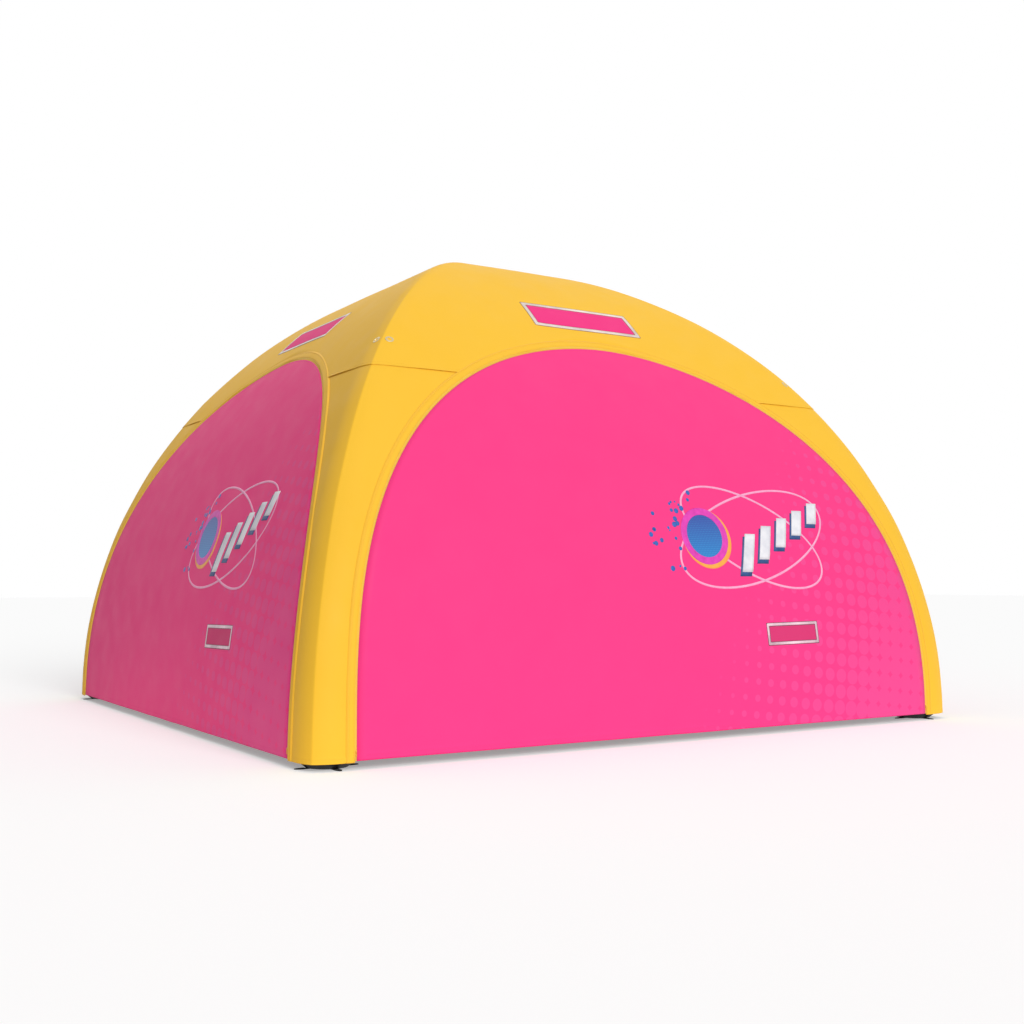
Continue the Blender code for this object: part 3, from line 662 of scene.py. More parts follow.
def corner_grid(arch_across, arch_turn, ridge_turn, drop, level=0.0):
    """Rows of base points and normals of the front left corner, from the left arch round the ridge to the front arch.

    Also gives the flat coordinates, and how near each column is to the ridge, from 0 at the arch to 1. Where level is
    1 the row is as high on the ridge as on the faces.
    """
    arch_across, arch_turn, ridge_turn, drop = (row[:, None] for row in (arch_across, arch_turn, ridge_turn, drop))
    share = np.linspace(0, 1, FACE_COLUMNS + 1)
    inset, radius = ridge_inset(ridge_turn), ridge_radius(ridge_turn)
    across = -(arch_across + (inset - arch_across) * share)
    turns = arch_turn + (ridge_turn - arch_turn) * share
    front, front_normal = face(across, turns, 0.0, drop)
    bend_turn = np.repeat(ridge_turn, len(RIDGE_ANGLES), 1)
    level = np.broadcast_to(level, len(bend_turn))
    rows = level > 0
    bend_turn[rows] += level[rows, None] * (level_turns(ridge_turn[rows, 0]) - bend_turn[rows])
    bend, bend_normal = ridge(bend_turn, np.broadcast_to(RIDGE_ANGLES, bend_turn.shape))
    bend = bend - drop[..., None] * (0, 0, 1)
    points = np.concatenate([swapped(front), bend, front[:, ::-1]], 1)
    normals = np.concatenate([swapped(front_normal), bend_normal, front_normal[:, ::-1]], 1)
    u = [-2 * inset - radius * math.pi / 2 - across, radius * (RIDGE_ANGLES - math.pi / 2) - inset, across[:, ::-1]]
    arc = arc_of_turn(turns) - drop
    v = [arc, np.repeat(arc[:, -1:], len(RIDGE_ANGLES), 1), arc[:, ::-1]]
    near = np.concatenate([share, np.ones(len(RIDGE_ANGLES)), share[::-1]])
    return points, normals, stacked(np.concatenate(u, 1), np.concatenate(v, 1)), near


def roof_unevenness(points):
    return 0.0011 * ripple(points, 0.55, 4)


def roof():
    """Canopy over the crown: rows fan out from the arch to the ridge, and the last one runs up to the crown."""
    rows = np.concatenate([[0, 0.003, 0.007, 0.012, 0.02, 0.035, 0.052], np.linspace(0.075, 1, 46)])
    half = half_outline(EDGE_GAP)
    half = np.concatenate([[(arch_half_width(ROOF_HEM, EDGE_GAP), ROOF_HEM)], half[half[:, 1] >= ROOF_HEM]])
    along = lengths(half)
    across, height = sampled(rows * along[-1], along, half).T
    hem_turn = turn_at(ROOF_HEM)
    ridge_turn = hem_turn + (math.pi / 2 - hem_turn) * rows
    level = 1 - smooth(rows / 0.2)
    points, normals, cloth, near = corner_grid(across, turn_at(height), ridge_turn, 0 * rows, level)
    open_hem = smooth((near - 0.07) / 0.12) * (1 - 0.85 * smooth((near - 0.55) / 0.4))
    flare = 0.0028 * (1 - smooth(rows / 0.016))[:, None] * open_hem[None, :]
    parts = []
    for index in range(len(CORNERS)):
        turn = np.array(quarter(index).to_3x3())
        here, up = points @ turn.T, normals @ turn.T
        lift = ROOF_FACE + flare + roof_unevenness(here) * smooth(rows / 0.1)[:, None]
        parts.append(mesh_of(here + lift[..., None] * up, cloth))
    whole = welded(joined(parts), 0.0001)
    made = dress("roof_cover", whole, cover_cloth, "root", "cover_fabric", "roof_canopy")
    thicken([made], SHEET)
    return made


def legs():
    """Covers of the legs, with a folded hem, and lapped under the roof's hem."""
    low = [LEG_HEM, 0.034, WALL_HEM, 0.046, 0.053, 0.060, 0.07]
    heights = np.concatenate([low, np.linspace(0.10, ROOF_HEM + ROOF_LAP, 50)])
    turns = turn_at(heights)
    drop = np.clip(WALL_HEM - heights, 0, None)
    points, normals, cloth, _ = corner_grid(arch_half_width(heights, EDGE_GAP), turns, turns, drop)
    fold = 0.0009 * (1 - smooth((heights - 0.053) / 0.006))
    lift = fold[:, None] + 0.0009 * ripple(points, 0.42, 11) * smooth((heights - 0.05) / 0.2)[:, None]
    lift *= (1 - smooth((heights - ROOF_HEM + 0.05) / 0.05))[:, None]
    data = mesh_of(points + lift[..., None] * normals, cloth)
    return thicken(on_corners("leg_sheet_{}", data, cover_cloth, "cover_fabric", "leg_cover_{}"), SHEET)


def corner_line(height, lift, level=0.0):
    """Line at this height from the left arch round the ridge to the front arch, and its normals."""
    height = np.array([height])
    across, turn = arch_half_width(height, BAND_OUTER + 0.002), turn_at(height)
    points, normals, _, _ = corner_grid(across, turn, turn, np.clip(WALL_HEM - height, 0, None), level)
    return points[0] + lift * normals[0], normals[0]


# Walls, zips and flap bands


def wall_lift(u, arc):
    """How far the front wall's cloth stands proud: soft waves that grow towards its hem, and the fold of the hem."""
    place = stacked(u, arc, 0)
    free = 1 - smooth(np.abs(u) / 1.7) ** 2
    waves = 0.0016 * ripple(place, 0.75, 21) * free
    hem = 0.0014 * np.sin(u * 11 + np.sin(u * 3.1)) * np.exp(-arc / 0.10) * free
    fold = 0.0008 * (1 - smooth((arc - 0.027) / 0.005))
    return 0.7 * waves + hem + fold - 0.0004


def on_wall(u, arc, lift=0.0):
    """Points on the front wall's cloth at these flat coordinates, and their normals."""
    points, normals = face(u, turn_of_arc(arc))
    return points + (wall_lift(u, arc) + lift)[..., None] * normals, normals


def walls():
    high = half_outline(-EDGE_GAP, 84)[:, 1]
    heights = np.concatenate([[WALL_HEM, 0.046, 0.058, 0.0655, 0.071, 0.09], high[high > 0.12]])
    widths = arch_half_width(heights, -EDGE_GAP)
    widths[-1] = 0
    across = widths[:, None] * np.linspace(-1, 1, 73)
    arc = arc_of_turn(turn_at(heights))[:, None] + 0 * across
    data = mesh_of(on_wall(across, arc)[0], stacked(across, arc))
    return thicken(on_sides("wall_sheet_{}", data, wall_cloth, "wall_fabric", "wall_{}", "wall_{}"), WALL_SHEET)


def bands():
    """Flap over the zip's outer side, with piping along its free edge. Returns the flaps and their length."""
    outer = 1000 * BAND_OUTER
    flap = [(outer - 4, 4.4), (outer - 5, 4.9), (24, 5), (15, 4.9), (11, 4.7), (9.4, 4.2), (8.5, 3.4), (8.1, 2.2)]
    flap = mm(flap + [(8, 0.4), (9.2, 0.4), (10.8, 2.8), (24, 3), (outer - 4, 2.8)])
    grid = arch_sweep(flap, LEG_HEM)
    length = lengths(grid[:, 2])
    cloth = stacked(*np.meshgrid([offset for offset, _ in flap], length))
    data = mesh_of(grid, cloth, loop=True, ends=True)
    flaps = on_sides("flap_band_sheet_{}", data, cover_cloth, "cover_fabric", "flap_band_{}")
    pipe = [(-6.2, 3), (-5.8, 4.9), (-4.6, 5.9), (-3, 6.2), (-1.2, 5.7), (1, 4.2), (3.6, 2.2), (6.2, 0.4)]
    pipe = mm((outer + offset, lift) for offset, lift in pipe + [(6.2, -0.6), (-4.6, 0.6)])
    data = outward(mesh_of(arch_sweep(pipe, LEG_HEM), loop=True, ends=True))
    on_sides("flap_piping_{}", data, binding_cloth, "cover_fabric")
    return flaps, length[-1]


def zips():
    """Tape on both sides of a row of teeth that mesh by turns, with a lip behind the wall's edge."""
    tape = [(7.9, -0.9), (7.9, 3.2), (5.5, 2.5), (2.3, 0.3), (1.8, -0.1), (-3.1, -0.1), (-3.1, -3), (-8.5, -4.2)]
    tape = mm(tape + [(-8.5, -4.8), (-2.5, -3.8), (-1, -0.9)])
    data = mesh_of(arch_sweep(tape), loop=True, ends=True)
    on_sides("zip_tape_{}", data, zip_tape, "zip_chain", "zip_{}")
    points, normals = arch_line(0.0, 0.0)
    along = lengths(points)
    places = np.arange(0.004, along[-1] - 0.004, TOOTH_PITCH)
    centre, up = sampled(places, along, points), unit(sampled(places, along, normals))
    ahead = unit(np.gradient(centre, axis=0))
    aside = np.cross(up, ahead)
    shift = np.where(np.arange(len(places)) % 2, 0.0005, -0.0005)[:, None]
    corners = []
    for level, half_width, half_length in mm([(-0.2, 1.7, 1.1), (0.6, 1.6, 1), (1, 1.2, 0.6)]):
        for across, forward in ((-1, -1), (1, -1), (1, 1), (-1, 1)):
            step = aside * (shift + across * half_width) + ahead * forward * half_length
            corners.append(centre + up * level + step)
    pattern = [(0, 1, 2, 3), (8, 11, 10, 9)]
    for low in (0, 4):
        pattern += [(low + k, low + 4 + k, low + 4 + (k + 1) % 4, low + (k + 1) % 4) for k in range(4)]
    teeth = outward(scattered(np.stack(corners, 1), pattern))
    on_sides("zip_teeth_{}", teeth, zip_coil, "zip_chain")


def sewing():
    """Rows of stitches: along both edges of the flap bands, round the walls, and along the hems."""
    across = np.linspace(-1.76, 1.76, 300)
    line = arch_outline(-EDGE_GAP - 0.007, 160)
    line = line[line[:, 1] > WALL_HEM + 0.03]
    band = arch_line(0.0150, 0.0049), arch_line(BAND_OUTER - 0.009, 0.0050)
    wall = on_wall(across, np.full_like(across, 0.024)), on_wall(line[:, 0], arc_of_turn(turn_at(line[:, 1])))
    hem = corner_line(0.051, 0.0009), corner_line(ROOF_HEM + 0.016, ROOF_FACE + 0.0002, 1.0)
    band, wall, hem = (joined([stitches(*line) for line in lines]) for lines in (band, wall, hem))
    on_sides("band_stitches_{}", band, cover_thread, "cover_fabric")
    on_sides("wall_stitches_{}", wall, wall_thread, "wall_fabric", body="wall_{}")
    on_corners("hem_stitches_{}", hem, cover_thread, "cover_fabric")


# Printed plates and the generic design


def plate_on_roof(u, arc, lift, index):
    points, normals = face(u, turn_of_arc(arc))
    uneven = roof_unevenness(points @ np.array(quarter(index).to_3x3()).T)
    return points + (ROOF_FACE + uneven + lift)[..., None] * normals


def rectangle(centre, size, inset, columns=24, rows=8, slant=0.0):
    u = np.linspace(-size[0] / 2 + inset, size[0] / 2 - inset, columns)
    v = np.linspace(-size[1] / 2 + inset, size[1] / 2 - inset, rows)
    u, v = np.meshgrid(u, v)
    return centre[0] + u + slant * v, centre[1] + v


def turned(u, v, tilt):
    return u * math.cos(tilt) - v * math.sin(tilt), u * math.sin(tilt) + v * math.cos(tilt)


def frame_ring(size, width, grow=0.0):
    """Rectangular frame with slightly rounded corners, as a closed strip."""
    run = np.linspace(-1, 1, 40, endpoint=False)
    square = np.concatenate([stacked(*side) for side in ((1, run), (-run, 1), (-1, -run), (run, -1))])
    square /= (np.abs(square) ** 60).sum(-1, keepdims=True) ** (1 / 60)
    strip = np.array([0, 0.3, 0.7, 1]) * (width + 2 * grow)
    rows = square * (np.array(size) / 2 + grow - strip[:, None, None])
    return rows[..., 0], rows[..., 1]


def plates(prefix, finishes, centres, size, width, tilt, place, body, slot):
    """Bare framed plates: a printed field, and a silver frame with a thin dark ring under it that shows just past its
    edges, which is a painted shadow of the frame.
    """
    bulge = 0.0010 + 0.0005 * np.array([[0], [1], [1], [0]])
    layers = [
        ("field", rectangle((0, 0), size, width * 0.5), 0.0003, False),
        # The edge layer is the dark ring under the frame: a painted shadow.
        ("edge", frame_ring(size, width, PLATE_SHADOW_SPREAD), 0.0006, True),
        ("frame", frame_ring(size, width), bulge, True),
    ]
    for index, (side, centre) in enumerate(zip(SIDES, centres)):
        for (name, grid, lift, loop), finish in zip(layers, finishes):
            u, arc = turned(*grid, tilt)
            u, arc = centre[0] + u, centre[1] + arc
            data = mesh_of(place(u, arc, lift, index), stacked(u, arc), loop)
            data = copy_of(data, quarter(index))
            thicken([dress(f"{prefix}_{name}_{side}", data, finish, body.format(side), slot)], PLATE_SHEET)


def loop_line(centre, radii, tilt, width):
    """Ellipse drawn with a line of this width."""
    angle, offset = circle(200), width * np.array([[0.5], [0.0], [-0.5]])
    u, v = turned((radii[0] + offset) * np.cos(angle), (radii[1] + offset) * np.sin(angle), tilt)
    return centre[0] + u, centre[1] + v


def disc(centre, radius, inner=0.0, steps=96, rings=9):
    """Round patch, or a ring where inner is above 0."""
    angle, radii = circle(steps), np.linspace(radius, inner, rings)[:, None]
    return centre[0] + radii * np.cos(angle), centre[1] + radii * np.sin(angle)


def design():
    """Generic print of the walls: a ringed disc, a run of slanted blocks, two crossing loops and scattered dots."""
    parts = {key: [] for key in INKS}

    def add(key, grid, lift, loop=True):
        parts[key].append(mesh_of(on_wall(*grid, lift)[0], stacked(*grid), loop))

    for tilt, radii in ((0.30, (0.56, 0.24)), (-0.42, (0.50, 0.22))):
        add("loops", loop_line((0.62, 1.02), radii, tilt, 0.013), 0.0003)
    for step in range(5):
        u, v = 0.56 + 0.135 * step, 0.93 + 0.060 * step
        size = (0.075, 0.215 - 0.022 * step)
        add("shade", rectangle((u - 0.016, v - 0.020), size, -0.004, 6, 10, 0.32), 0.0005, False)
        add("blocks", rectangle((u, v), size, 0.0, 6, 10, 0.32), 0.0008, False)
    u, v = 0.27, 1.02
    add("orange", disc((u + 0.012, v - 0.014), 0.166, 0.130), 0.0005)
    add("magenta", disc((u, v), 0.158, 0.118), 0.0008)
    add("disc", disc((u, v), 0.128), 0.0006)
    draw = np.random.default_rng(7)
    for _ in range(26):
        angle, reach = draw.uniform(1.7, 4.3), draw.uniform(0.19, 0.36)
        spot = (u + reach * math.cos(angle), v + 0.75 * reach * math.sin(angle))
        add("dots", disc(spot, draw.uniform(0.005, 0.016), steps=24, rings=3), 0.0004)
    for key, ink in INKS.items():
        whole = joined(parts[key])
        thicken(on_sides(f"print_{key}_{{}}", whole, ink, "wall_fabric", body="wall_{}"), INK_SHEET)


# Air beams and hub


def beam_path(turns):
    out, height, nx, nz = vault(turns)
    inset = out - BEAM_DEPTH * nx
    return stacked(-inset, -inset, height - BEAM_DEPTH * nz)


ASIDE = np.array((1, -1, 0)) / math.sqrt(2)


def tube_rings(centres, radii, angles):
    """Rings round a line that lies in the upright plane through the front left ridge."""
    up = np.cross(unit(np.gradient(centres, axis=0)), ASIDE)
    around = np.cos(angles)[None, :, None] * ASIDE + np.sin(angles)[None, :, None] * up[:, None, :]
    return centres[:, None, :] + radii[:, None, None] * around


def beam_centres():
    """Centre line of the front left beam from its foot to the hub, and its radii."""
    base = foot_place().translation
    path = beam_path(np.linspace(math.radians(9), math.pi / 2, 90))
    crown = path[-1]
    path = path[np.linalg.norm(path - crown, axis=1) > HUB_REACH]
    rises = np.array([0.0, 0.004, 0.012, 0.025, 0.045, 0.065, 0.09, 0.115])
    shares = np.array([0.52, 0.62, 0.72, 0.80, 0.86, 0.90, 0.935, 0.96])
    foot = stacked(base.x, base.y, BEAM_FLOOR + rises)
    short = max(np.linalg.norm(path[-1] - crown) - HUB_REACH - 0.0003, 0)
    centres = np.concatenate([foot, path, [path[-1] + unit(path[-1] - path[-2]) * short]])
    return centres, BEAM_RADIUS * np.concatenate([shares, np.ones(len(path) + 1)])


def beams():
    """Inflated beams, with a weld along the side that faces into the tent."""
    centres, radii = beam_centres()
    angles = circle(40)
    cloth = stacked(*np.meshgrid(angles * BEAM_RADIUS, lengths(centres)))
    tube = mesh_of(tube_rings(centres, radii, angles), cloth, loop=True, ends=True)
    on_corners("beam_tube_{}", tube, film, "bladder", "air_beam_{}")
    inner = np.linspace(-0.07, 0.07, 7) - math.pi / 2 + 0.55
    strip = mesh_of(tube_rings(centres[6:-2], radii[6:-2] + 0.0012, inner))
    thicken(on_corners("beam_weld_{}", strip, film_band, "bladder"), FILM_SHEET)


def hub():
    """Four short arms that meet in mitres under the crown, with a cuff where each beam runs in."""
    angles = circle(40)
    aside, lift = BEAM_RADIUS * np.cos(angles), BEAM_RADIUS * np.sin(angles)
    path = beam_path(np.linspace(math.radians(70), math.pi / 2, 400))
    reach = -path[:, 0] * math.sqrt(2)
    distances = np.linalg.norm(path - path[-1], axis=1)
    near = reach[np.argmin(np.abs(distances - HUB_REACH + 0.0008))]
    rows = []
    for share in np.linspace(0, 1, 14):
        distance = near + (np.abs(aside) - near) * share
        height = np.interp(distance, reach[::-1], path[::-1, 2])
        slope = np.interp(distance, reach[::-1], np.gradient(path[:, 2], reach)[::-1])
        lean = np.arctan(slope) * (1 - share)
        plan = -distance - lift * np.sin(lean)
        x, y = (plan + aside) / math.sqrt(2), (plan - aside) / math.sqrt(2)
        rows.append(stacked(x, y, height + lift * np.cos(lean)))
    rows[-1][:, :2] = np.minimum(rows[-1][:, :2], 0)
    arm = mesh_of(np.array(rows)[:, ::-1], loop=True)
    arms = joined([copy_of(arm, quarter(index)) for index in range(len(CORNERS))])
    thicken([dress("hub_tube", outward(welded(arms, 0.0005)), film, "root", "bladder", "crown_hub")], FILM_SHEET)
    centres = path[np.abs(distances - HUB_REACH) < 0.035][::4]
    radii = np.full(len(centres), BEAM_RADIUS + 0.0011)
    cuff = mesh_of(tube_rings(centres, radii, angles)[:, ::-1], loop=True)
    thicken(on_corners("hub_cuff_{}", cuff, film_band, "bladder"), CUFF_SHEET)


# Feet


def foot_place():
    """Stand on the ground under the front left beam."""
    across, out, _ = beam_path(np.array([0.0]))[0]
    return Matrix.Translation((across, out, 0))


def feet():
    """Bowl with a rolled rim, and a cross of webbing whose pointed ends are folded back and sewn."""
    turns = np.linspace(-0.6, math.pi + 0.6, 9)
    rim = [(148.4 + 3.2 * math.cos(turn), 100.3 + 3.2 * math.sin(turn)) for turn in turns]
    profile = [(0, 2.3), (92, 2.3), (98, 6.3), (128, 30.3), (143, 70.3), *rim, (140, 70.3), (125, 30.3), (95, 5.3)]
    bowl = revolved(mm([*profile, (0, 5.3)]), foot_place())
    on_corners("foot_bowl_{}", bowl, vinyl, "foot_vinyl", "foot_cup_{}")
    section = mm([(-15, 0), (15, 0), (15, 1.2), (14.1, 2), (-14.1, 2), (-15, 1.2)])
    rows = [(-0.0004, 1, 1), (0.05, 1, 1), (0.1, 1, 1), (0.1005, 1.8, 1), (0.118, 1.8, 1), (0.134, 1.8, 0.85)]
    rows += [(0.148, 1.7, 0.42), (0.15, 0.5, 0.36)]
    grid = np.array([[(x * width, -y, z * rise) for x, z in section] for y, rise, width in rows])
    cloth = np.array([[(x, y) for x, _ in section] for y, _, _ in rows])
    arm = mesh_of(grid, cloth, loop=True, ends=True)
    box = [(-11, -104), (11, -104), (11, -116), (-11, -116), (-11, -104), (11, -116)]
    path = np.array(mm((*corner, 3.6) for corner in box))
    dense = np.concatenate([np.linspace(a, b, 12) for a, b in zip(path, path[1:])])
    thread = stitches(dense, np.tile((0.0, 0.0, 1.0), (len(dense), 1)), 0.0035, 0.0009, 0.0004)
    for name, item, finish, *replaced in (
        ("peg_strap_{}", arm, strap, "peg_webbing_{}"),
        ("strap_stitches_{}", thread, strap_thread),
    ):
        cross = joined([copy_of(item, foot_place() @ quarter(index)) for index in range(4)])
        on_corners(name, cross, finish, "webbing", *replaced)


# Small parts


def eyelets():
    """Domed rings clenched through the roof beside each ridge."""
    profile = [(11, -2.6), (11, 3.1), (11.6, 3.9), (13.5, 4.4), (17, 4.3), (20.5, 3.7), (22, 3), (22, 2.3), (13, 2.3)]
    profile = mm(profile + [(13, -1.6), (16, -1.6), (16, -2.5), (11, -2.6)])
    nudge = 0.01
    turns = turn_at(EYELET_HEIGHT) + np.array([-nudge, nudge, 0, 0, 0])
    for letter, degrees in zip("ab", EYELET_ANGLES):
        low, high, left, right, middle = ridge(turns, math.radians(degrees) + np.array([0, 0, -nudge, nudge, 0]))[0]
        away = Vector(np.cross(right - left, high - low)).normalized()
        data = revolved(profile, facing(Vector(middle) + 0.0004 * away, away), 48)
        on_corners(f"eyelet_ring_{{}}_{letter}", data, nickel, "eyelet_metal", f"eyelet_{{}}_{letter}")


def grip_and_ribs(shape):
    """Bar across the valve's cap, and the ribs round its skirt."""
    bar = Matrix.Translation((0, 0, 0.0198)) @ Matrix.Diagonal((0.034, 0.006, 0.0065, 1))
    bmesh.ops.create_cube(shape, size=1, matrix=bar)
    bmesh.ops.bevel(shape, geom=shape.edges, offset=0.0011, segments=3, affect="EDGES", profile=0.5)
    rib = Matrix.Translation((0.0246, 0, 0.0104)) @ Matrix.Diagonal((0.0012, 0.0016, 0.0096, 1))
    for turn in circle(40):
        bmesh.ops.create_cube(shape, size=1, matrix=Matrix.Rotation(turn, 4, "Z") @ rib)


def valve_patch(pos, axis):
    """Patch welded round the valve, which follows the beam's round."""
    centres, _ = beam_centres()
    nearest = int(np.argmin(np.linalg.norm(centres - np.array(pos - BEAM_RADIUS * axis), axis=1)))
    lateral = axis.cross(Vector(unit(centres[nearest + 1] - centres[nearest - 1]))).normalized()
    ahead = lateral.cross(axis)
    angle = circle(48)
    rows = []
    for radius, lift in mm([(50, 0.4), (49.4, 1.4), (30, 1.4), (24, 1.2), (24, -0.4), (50, 0.4)]):
        a, b = radius * np.cos(angle), radius * np.sin(angle)
        rise = lift - BEAM_RADIUS + np.sqrt(BEAM_RADIUS**2 - b**2)
        rows.append(np.array(pos) + a[:, None] * ahead + b[:, None] * lateral + rise[:, None] * axis)
    return outward(mesh_of(np.array(rows), loop=True))


def valves():
    """Inflation valve of each beam: body with a welded patch, screw cap with a ribbed skirt, and sprung button."""
    joint = JOINTS["valve_cap_front_left_turn"]
    pos, axis = Vector(joint["pos_m"]), Vector(joint["axis"]).normalized()
    place = facing(pos, axis)
    body = [(9, -24), (9, -21), (13, -21), (13, 11.5), (13.6, 12), (19.6, 12)]
    for level in (10.5, 8.5, 6.5):
        body += [(20.3, level), (20.8, level - 0.5), (20.8, level - 0.9), (20.3, level - 1.4)]
    body += [(20.3, 4.2), (26.5, 3.8), (27.8, 2.8), (28, 0.6), (18, 0.3), (18, -24), (9, -24)]
    barrel = revolved(mm(body), place)
    on_corners("valve_barrel_{}", barrel, valve_black, "valve_plastic", "valve_body_{}")
    cap = [(0, 14.2), (21.8, 14.2), (21.8, 4.2), (24, 4.2), (24.5, 5), (24.5, 16), (23.8, 16.8), (0, 17)]
    lid = joined([revolved(mm(cap), place), copy_of(joined([], grip_and_ribs), place)])
    lid.set_sharp_from_angle(angle=SHARP_EDGE)
    on_corners("valve_lid_{}", lid, valve_grey, "valve_cap", "valve_cap_{}", "valve_cap_{}")
    stem = [(0, -26.5), (12, -26.5), (12, -24.5), (5.8, -24.3), (5.8, 5.8), (10, 6), (10.5, 6.6), (10.4, 8.2)]
    button = revolved(mm(stem + [(9.6, 8.8), (3, 8.4), (0, 8.3)]), place)
    on_corners("valve_button_{}", button, valve_red, "valve_button", "valve_poppet_{}", "valve_poppet_{}")
    on_corners("valve_patch_{}", valve_patch(pos, axis), film_band, "bladder")


def rounded_outline(half_width, half_length, taper, height):
    """Rounded oblong that is wider at its upper end, or at its lower end where taper is below 0."""
    x, y = (np.sign(wave) * np.sqrt(np.abs(wave)) for wave in (np.cos(circle(40)), np.sin(circle(40))))
    return stacked(half_width * (1 + taper * y) * x, half_length * y, height)


def slider_mesh():
    """Two plates round a neck, a bridge, and a framed pull that hangs from it. Y is up the zip, and Z outwards."""
    plates = mm([(0, 0.4), (0.4, 0), (1.2, 0), (1.4, 0.7), (2, 0.7), (2.2, 0), (3.2, 0), (3.7, 0.5)])
    rows = [rounded_outline(0.00355 - inset, 0.009 - inset, 0.12, height) for height, inset in plates]
    body = mesh_of(np.array(rows), loop=True, ends=True)
    path = np.array(mm([(5.4, 3.4), (4.9, 5.0), (3.4, 6.1), (0.6, 6.4), (-2.2, 6.1), (-3.6, 5.0), (-4.0, 3.4)]))
    inner = np.array((0.0007, 0.0034)) + 0.78 * (path - (0.0007, 0.0034))
    grid = [[(-0.0012, *far), (0.0012, *far), (0.0012, *near), (-0.0012, *near)] for far, near in zip(path, inner)]
    bridge = mesh_of(np.array(grid), loop=True, ends=True)
    section = [(0, 4.5), (0, 5.1), (0.2, 5.4), (0.8, 5.4), (1, 5.1), (1, 4.5), (0.8, 4.2), (0.2, 4.2), (0, 4.5)]
    rows = []
    for share, height in section:
        outer, slot = (rounded_outline(*size, -0.15, height / 1000) for size in mm([(2.6, 10.5), (1.4, 9.2)]))
        rows.append(outer + share * (slot - outer) - (0, 0.0105, 0))
    pull = mesh_of(np.array(rows), loop=True)
    data = joined([outward(part) for part in (body, bridge, pull)])
    data.set_sharp_from_angle(angle=math.radians(50))
    return data


def sliders():
    """A slider at each end of every zip."""
    data, height = slider_mesh(), np.array([SLIDER_HEIGHT])
    across = arch_half_width(height, 0.0) + 0.0006
    for hand, sign in (("left", -1), ("right", 1)):
        points, normals = face(sign * across, turn_at(height), -0.0003)
        place, joint = Vector(points[0]), JOINTS[f"zip_slider_front_{hand}_run"]
        upward = Vector(joint["axis"]).cross(place - Vector(joint["pos_m"])).normalized()
        aside = upward.cross(Vector(normals[0])).normalized()
        stand = Matrix((aside, upward, aside.cross(upward))).transposed().to_4x4()
        stand.translation = place
        name, node = f"slider_{{}}_{hand}", f"zip_slider_{{}}_{hand}"
        on_sides(name, copy_of(data, stand), enamel, "slider_metal", node, node)


canopy = roof()
leg_sheets = legs()
wall_sheets = walls()
flap_sheets, band_length = bands()
zips()
sewing()
plates(
    "roof_plate",
    ROOF_PLATE,
    centres=3 * [(0.008, 2.502)] + [(-0.085, 2.508)],
    size=(0.728, 0.231),
    width=0.024,
    tilt=0.0,
    place=plate_on_roof,
    body="root",
    slot="cover_fabric",
)
plates(
    "wall_plate",
    WALL_PLATE,
    centres=4 * [(0.792, 0.488)],
    size=(0.372, 0.116),
    width=0.014,
    tilt=math.radians(0.9),
    place=lambda u, arc, lift, _: on_wall(u, arc, lift)[0],
    body="wall_{}",
    slot="wall_fabric",
)
design()
beams()
hub()
feet()
eyelets()
valves()
sliders()

# Cut sizes of the sheets

bpy.context.view_layer.update()


def cut_size(data):
    """Width and length of the rectangle of cloth that this sheet is cut from."""
    flat = np.empty(2 * len(data.loops), np.float32)
    data.uv_layers["cloth"].data.foreach_get("uv", flat)
    return [float(size) for size in np.ptp(flat.reshape(-1, 2), axis=0)]


for corner, leg in zip(CORNERS, leg_sheets):
    cut_size(leg.data)
for side, wall, flap in zip(SIDES, wall_sheets, flap_sheets):
    cut_size(wall.data)

# Floor, lights and camera


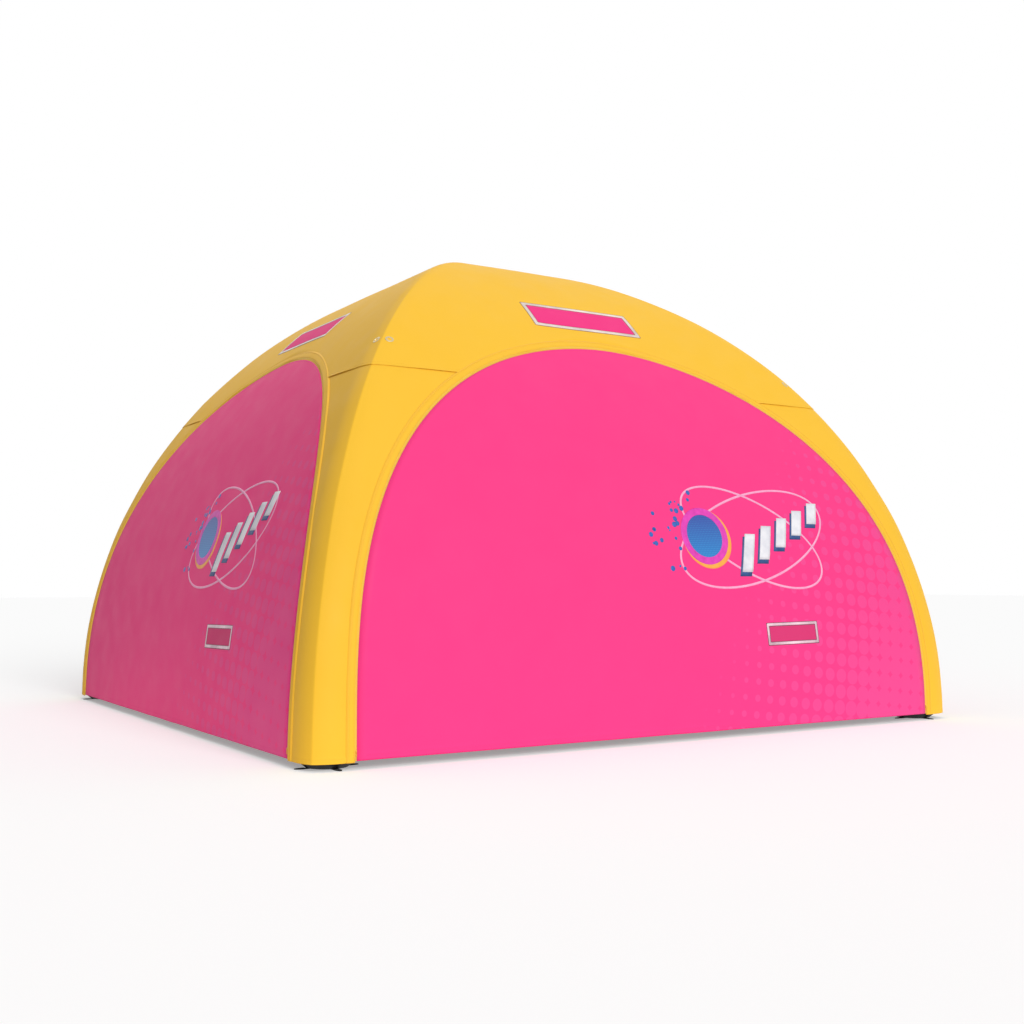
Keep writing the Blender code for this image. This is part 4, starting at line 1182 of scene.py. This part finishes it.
def stage():
    """Pale floor. The background's rays see it white, and the light that it throws back fades round the tent."""
    data = bpy.data.meshes.new("floor")
    corners = [(x * FLOOR_HALF, y * FLOOR_HALF, 0) for x, y in ((-1, -1), (1, -1), (1, 1), (-1, 1))]
    data.from_pydata(corners, [], [(0, 1, 2, 3)])
    made = bpy.data.materials.new("floor")
    made.use_nodes = True
    made.node_tree.nodes.remove(made.node_tree.nodes["Principled BSDF"])
    nodes = Nodes(made.node_tree)
    spot = nodes.node("TexCoord").outputs["Object"]
    away = nodes.node("VectorMath", (spot, POOL_CENTRE), operation="DISTANCE").outputs["Value"]
    grey = nodes.node("BsdfDiffuse", {"Color": nodes.ranged(away, *POOL_FADE)}).outputs[0]
    white = nodes.node("BsdfDiffuse", {"Color": (FLOOR_WHITE, FLOOR_WHITE, FLOOR_WHITE, 1)}).outputs[0]
    glow = nodes.node("Emission", {"Strength": FLOOR_GLOW}).outputs[0]
    seen = nodes.node("AddShader", (white, glow)).outputs[0]
    mix = nodes.node("MixShader", (nodes.background(), grey, seen)).outputs[0]
    nodes.link(mix, made.node_tree.nodes["Material Output"].inputs["Surface"])
    data.materials.append(made)
    placed("floor", data)


def light():
    """White background, light from all round that grows with height, and a soft key light from the front."""
    world = bpy.data.worlds.new("studio")
    bpy.context.scene.world = world
    world.use_nodes = True
    nodes, sky = Nodes(world.node_tree), world.node_tree.nodes["Background"].inputs
    way = nodes.node("SeparateXYZ", [nodes.node("TexCoord").outputs["Generated"]]).outputs["Z"]
    strength = nodes.ranged(nodes.background(), 0.0, 1.0, nodes.ranged(way, *SKY_FADE), 1.0)
    nodes.link(strength, sky["Strength"])
    sky["Color"].default_value = (1, 1, 1, 1)
    sun = bpy.data.lights.new("key", "SUN")
    sun.energy = KEY_STRENGTH
    sun.angle = math.radians(30)
    placed("key", sun).matrix_world = facing((0, 0, 0), Vector(KEY_WAY))


def shoot():
    """Camera of the photo."""
    data = bpy.data.cameras.new("camera")
    data.sensor_width = SENSOR_WIDTH
    data.lens = FOCAL_PIXELS * SENSOR_WIDTH / PHOTO_WIDTH
    camera = placed("camera", data)
    turn = Matrix.Rotation(-CAMERA_YAW, 4, "Z") @ Matrix.Rotation(math.pi / 2 + CAMERA_PITCH, 4, "X")
    camera.matrix_world = Matrix.Translation(CAMERA_PLACE) @ turn
    bpy.context.scene.camera = camera


stage()
light()
shoot()
bpy.context.scene.view_settings.view_transform = "Standard"
